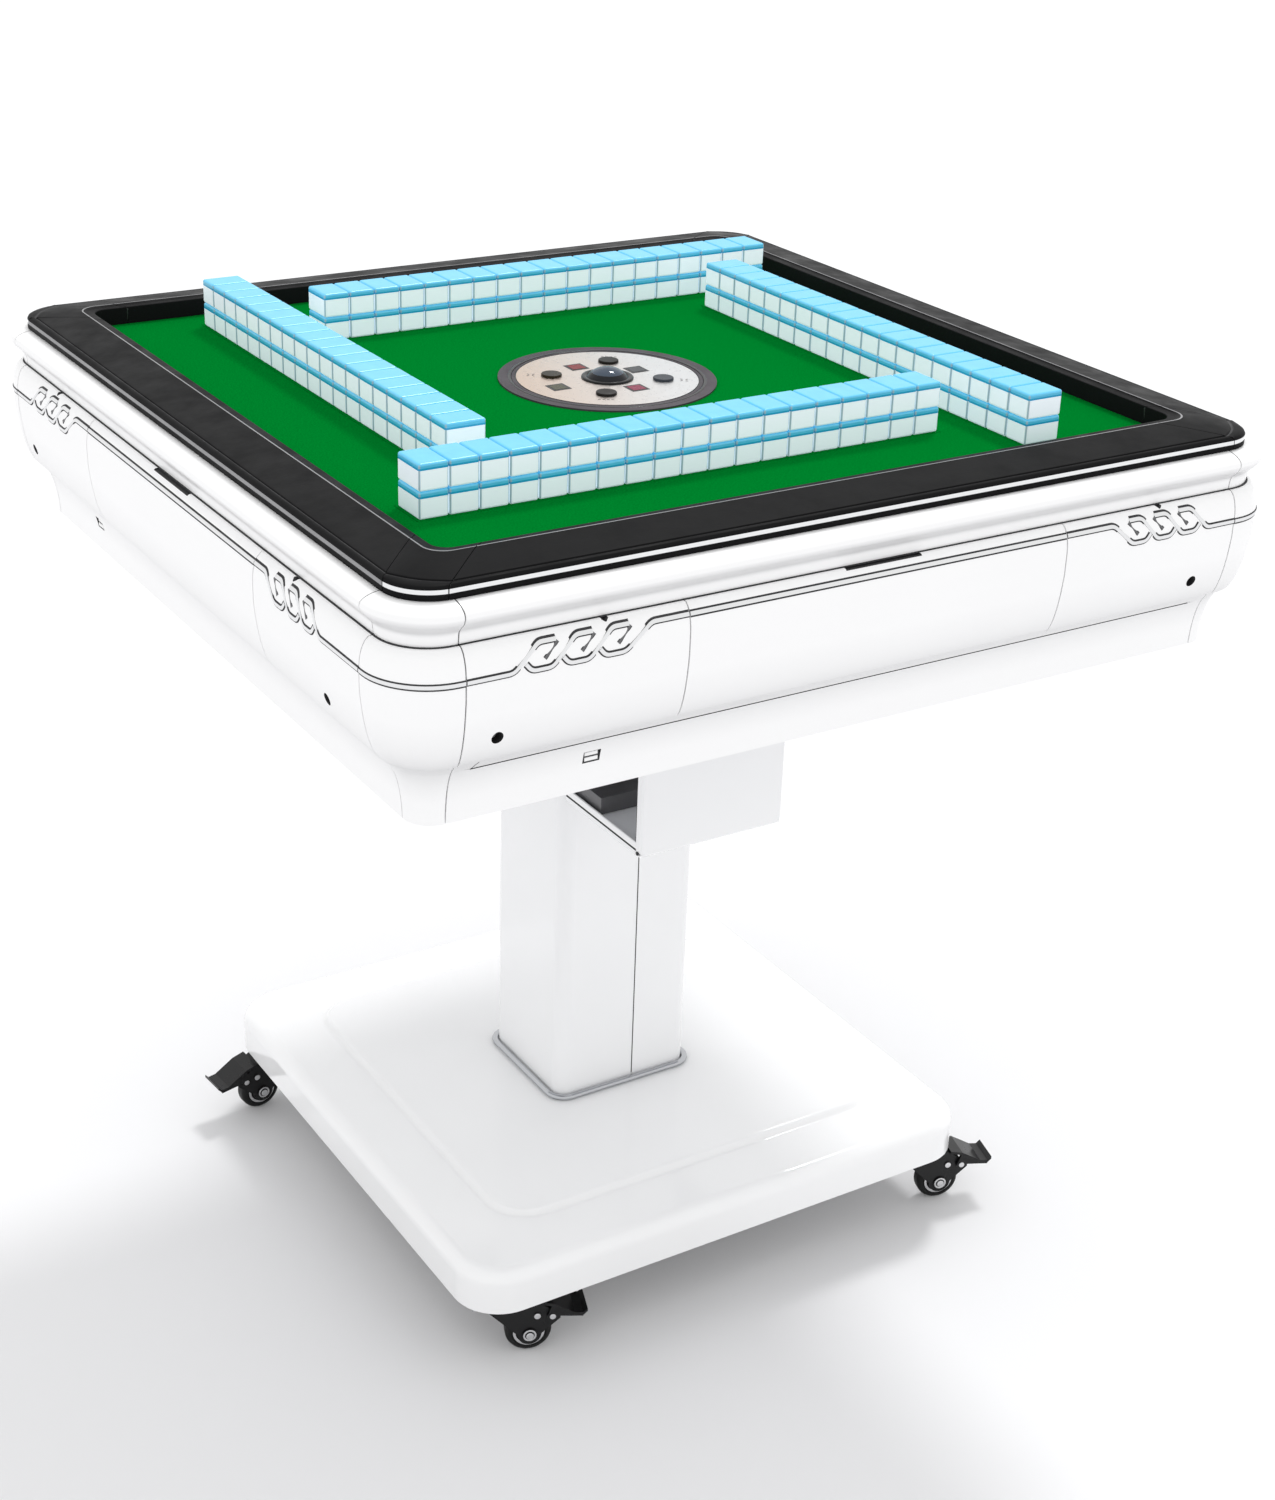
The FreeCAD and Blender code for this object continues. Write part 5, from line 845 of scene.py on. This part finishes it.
# ---------- casters ----------
# Each caster is drawn about its own swivel axis, with its wheel toward +X, then turned and moved to its place.
TRAIL, WHEEL_Z, PIN_X, RIVET_X, PIN_Z, HUB_RADIUS = 30.0, 22.0, 51.0, 37.0, 43.0, 6.3
CASTER_SPOTS = {"front_left": (-242, -242, -20), "front_right": (242, -242, -16), "back_right": (242, 242, 60),
                "back_left": (-242, 242, 185)}


def settle(form, corner):
    """Turn and move a form from a caster's own frame to its place."""
    x0, y0, turn = CASTER_SPOTS[corner]
    c, s = cos(radians(turn)), sin(radians(turn))
    form.points = [(x0 + x * c - y * s, y0 + x * s + y * c, z) for x, y, z in form.points]
    return form


cap_steel = metal("caster_cap", (0.72, 0.72, 0.73), 0.25, 300.0, 0.05)
for corner in CORNERS:
    caps, band = Form(), Form()
    for sign in (-1, 1):
        for x, z, radius, low, high in ((RIVET_X, PIN_Z, 3.1, 13.1, 13.7), (PIN_X, PIN_Z, 2.9, 15.6, 16.4),
                                        (TRAIL, WHEEL_Z, HUB_RADIUS, 13.6, 14.1), (TRAIL, WHEEL_Z, 3.6, 13.9, 15.2)):
            profile = [(0, sign * low), (radius, sign * low), (radius, sign * (high - 0.25)),
                       (radius - 0.5, sign * high), (radius * 0.72, sign * high), (0, sign * (high + 0.1))]
            if radius == HUB_RADIUS:
                profile = [(4.6, sign * low), (radius, sign * low), (radius, sign * (high - 0.2)),
                           (radius - 0.3, sign * high), (5.0, sign * high), (4.6, sign * (high - 0.2))]
            caps.turning((x, 0, z), profile, "Y", 28)
        band.turning((TRAIL, 0, WHEEL_Z), [(12.4, sign * 7.7), (15.0, sign * 7.7), (15.0, sign * 8.1),
                                           (14.6, sign * 8.35), (12.8, sign * 8.35), (12.4, sign * 8.1)], "Y", 64)
    settle(caps, corner).piece("caster_caps_" + corner, "caster_fork_" + corner, "bright_steel", [cap_steel])
    settle(band, corner).piece("wheel_band_" + corner, "caster_wheel_" + corner, "bright_steel", [cap_steel])

# ---------- console ----------
CONSOLE_TURN = radians(-32)
PLATE_TOP, PLATE_RADIUS, ROUND_STEPS = 841.6, 83.6, 128
MARK_FOOT, MARK_TOP = PLATE_TOP - 0.2, PLATE_TOP + 0.1


def console_spot(x, y):
    """A place on the console, whose marks stand turned against the table's sides."""
    return (x * cos(CONSOLE_TURN) - y * sin(CONSOLE_TURN),
            x * sin(CONSOLE_TURN) + y * cos(CONSOLE_TURN))


bezel_black = moulded("dome_bezel", (0.008, 0.008, 0.009), 0.2, grain=0.02, Specular_IOR_Level=0.2)
ring_grey = moulded("console_ring", (0.07, 0.058, 0.068), 0.42, grain=0.06, drift=0.75, Specular_IOR_Level=0.12)
plate = Form().turning((0, 0, 0), [
    (16.3, PLATE_TOP), (83.3, PLATE_TOP), (83.6, 841.1), (84.3, 841.1), (84.6, 841.5), (86.9, 841.5), (87.5, 841.3),
    (87.7, 840.9), (87.7, 771.6), (84.7, 771.6), (84.7, PLATE_TOP - 4), (16.3, PLATE_TOP - 4)],
    steps=ROUND_STEPS, paint=lambda i, j: 0 if j == 0 else 1 if j < 4 else 2)
champagne = metal("console_plate", (0.62, 0.62, 0.6), 0.33, 900.0, 0.06)
champagne.set(Metallic=0.8)
# Painted reflection: the plate's champagne colour turns silver-white towards the right, standing in for the reflection
# across it.
across = champagne.math("ADD", champagne.axes()["X"], champagne.math("MULTIPLY", champagne.axes()["Y"], -0.35))
champagne.feed("Base Color", champagne.mix(champagne.span(across, 0.0, 1.0, -0.085, 0.05), (0.62, 0.49, 0.4),
                                           (0.68, 0.68, 0.68)))
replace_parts(plate.piece("console_plate", "console", "console_plate", [champagne, bezel_black, ring_grey]),
            "console_drum")

marks = Form()
WINDOW_SPOTS = ((-0.35, 0.36), (0.31, 0.34), (0.32, -0.35), (-0.52, -0.42))
for number, (share_x, share_y) in enumerate(WINDOW_SPOTS):
    x, y = console_spot(share_x * PLATE_RADIUS, share_y * PLATE_RADIUS)
    for half, low, high, paint in ((9, 840.5, 841.8, 0), (6.6, MARK_FOOT, 841.95, number + 1)):
        marks.block((x - half, x + half), (y - half, y + half), (low, high), paint=paint)


def stroke(x, y, long, wide, angle=0.0):
    """A short printed stroke on the plate, as a low bar."""
    c, s = cos(angle), sin(angle)
    marks.grid([[(*console_spot(x + along * c - across * s, y + along * s + across * c), z) for across, z in
                 ((-wide, MARK_FOOT), (wide, MARK_FOOT), (wide, MARK_TOP), (-wide, MARK_TOP))]
                for along in (-long, long)])


# Four rays at the left and right, and rows of four dashes at the top and bottom.
for ray in range(4):
    for x in (-70, 70):
        angle = radians(45 + 90 * ray)
        stroke(x + 3.4 * cos(angle), 3.4 * sin(angle), 1.3, 0.5, angle)
    for y in (-68, 68):
        stroke(-6 + 4 * ray, y, 1.2, 0.45)
lens_paints = [moulded("window_" + name, colour, 0.25, grain=0.03, Specular_IOR_Level=0.12) for name, colour in
               (("frame", (0.035, 0.034, 0.036)), ("red", (0.2, 0.012, 0.016)), ("smoke", (0.05, 0.053, 0.058)),
                ("wine", (0.23, 0.016, 0.055)), ("plain", (0.06, 0.058, 0.03)))]
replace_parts(marks.piece("console_marks", "console", "console_dark", lens_paints), "console_windows")

dome = Form().turning((0, 0, 0), [
    (18.3, PLATE_TOP), (24.0, PLATE_TOP), (24.0, 842.6), (23.4, 843.3), (22.0, 843.6), (20.2, 843.5), (19.2, 843.0),
    (18.3, 842.4)], steps=96)
DOME_CENTRE, DOME_OUTER, DOME_INNER = 826.6, 25, 23.5
DOME_ANGLES = (0.01, 8, 16, 24, 30, 36, 42, 48, 53)
cap = [(radius * sin(radians(angle)), DOME_CENTRE + radius * cos(radians(angle)))
       for radius, angles in ((DOME_OUTER, DOME_ANGLES), (DOME_INNER, DOME_ANGLES[::-1])) for angle in angles]
dome.turning((0, 0, 0), cap, steps=96, paint=lambda i, j: 1 if j < 5 or j > 12 else 2)
glass = Shader("dome_glass", (0.09, 0.12, 0.17), 0.05, IOR=1.35, Transmission_Weight=0.4)
glass.feed("Roughness", glass.span(glass.noise(90.0, 3.0), 0.03, 0.09))
smoke = Shader("dome_smoke", (0.012, 0.013, 0.016), 0.08, IOR=1.3, Transmission_Weight=0.1)
smoke.feed("Roughness", smoke.span(smoke.noise(90.0, 3.0), 0.05, 0.12))
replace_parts(dome.piece("console_glass", "console", "dome_glass", [bezel_black, glass, smoke]), "console_dome")
rim = Form().turning((0, 0, 0), [(88.1, 840.8), (90.9, 840.8), (90.9, 841.55), (90.4, 841.75), (88.6, 841.75),
                                 (88.1, 841.5)], steps=ROUND_STEPS)
rim.piece("console_rim", "top", "console_dark", [bezel_black])
BUTTON_TONES = {"right": (0.045, 0.051, 0.062), "top": (0.014, 0.012, 0.01), "left": (0.026, 0.02, 0.01),
                "bottom": (0.015, 0.013, 0.012)}
paint_nodes(ring_grey, ("console_ring",))
for spot, tone in BUTTON_TONES.items():
    paint_nodes(moulded("button_" + spot, tone, 0.3, grain=0.05, Specular_IOR_Level=0.1), ("button_" + spot,))


# ---------- floor, light and camera ----------
FLOOR_COLOUR, FLOOR_GLOW, FLOOR_SIZE, FLOOR_LEVEL = (0.8, 0.8, 0.81, 1), 0.05, 60.0, -0.0005
bpy.ops.mesh.primitive_grid_add(x_subdivisions=8, y_subdivisions=8, size=FLOOR_SIZE, location=(0, 0, FLOOR_LEVEL))
floor = bpy.context.object
floor.name = "studio_floor"
ground = bpy.data.materials.new("studio_floor")
ground.use_nodes = True
tree = ground.node_tree
tree.nodes.remove(tree.nodes["Principled BSDF"])
diffuse, glow, seen, amount, both = (tree.nodes.new("ShaderNode" + kind) for kind in (
    "BsdfDiffuse", "Emission", "LightPath", "Math", "AddShader"))
diffuse.inputs["Color"].default_value = FLOOR_COLOUR
amount.operation = "MULTIPLY"
amount.inputs[1].default_value = FLOOR_GLOW
for source, target in ((seen.outputs["Is Camera Ray"], amount.inputs[0]), (amount.outputs[0], glow.inputs["Strength"]),
                       (diffuse.outputs[0], both.inputs[0]), (glow.outputs[0], both.inputs[1]),
                       (both.outputs[0], tree.nodes["Material Output"].inputs["Surface"])):
    tree.links.new(source, target)
floor.data.materials.append(ground)

world = bpy.data.worlds.new("studio")
scene.world = world
world.use_nodes = True
sky = world.node_tree.nodes["Background"]
sky.inputs["Color"].default_value = (1.0, 1.0, 1.0, 1.0)
sky.inputs["Strength"].default_value = 1.0

SUN_FROM = Vector((2.5, 2.0, 5.0))
light = bpy.data.lights.new("key_sun", "SUN")
light.energy = 1.1
light.angle = radians(11)
sun = bpy.data.objects.new("key_sun", light)
scene.collection.objects.link(sun)
sun.location = SUN_FROM
sun.rotation_mode = "QUATERNION"
sun.rotation_quaternion = (-SUN_FROM).to_track_quat("-Z", "Y")

# The camera, fitted to the photograph: focal length, image centre and size in pixels, place in metres.
camera = bpy.data.objects.new("camera", bpy.data.cameras.new("camera"))
scene.collection.objects.link(camera)
scene.camera = camera
FOCAL, CENTRE, WIDE, HIGH, SENSOR = 2368.0, (641.9, 751.7), 1275.0, 1500.0, 36.0
PLACE = (-1.0944, -1.7877, 1.4633)
camera.data.sensor_fit = "HORIZONTAL"
camera.data.sensor_width = SENSOR
camera.data.lens = FOCAL / WIDE * SENSOR
camera.data.shift_x = (WIDE / 2 - CENTRE[0]) / WIDE
camera.data.shift_y = (CENTRE[1] - HIGH / 2) / WIDE
camera.data.clip_start, camera.data.clip_end = 0.05, 100.0
AZIMUTH, ELEVATION, ROLL = (radians(v) for v in (-32.671, 25.468, 2.070))
away = Vector((sin(AZIMUTH) * cos(ELEVATION), -cos(AZIMUTH) * cos(ELEVATION),
               sin(ELEVATION)))
along = Vector((cos(AZIMUTH), sin(AZIMUTH), 0.0))
upward = away.cross(along)
rolled_along = along * cos(ROLL) + upward * sin(ROLL)
rolled_up = upward * cos(ROLL) - along * sin(ROLL)
camera.matrix_world = Matrix.Translation(PLACE) @ Matrix((rolled_along, rolled_up, away)).transposed().to_4x4()
scene.view_settings.view_transform = "Standard"
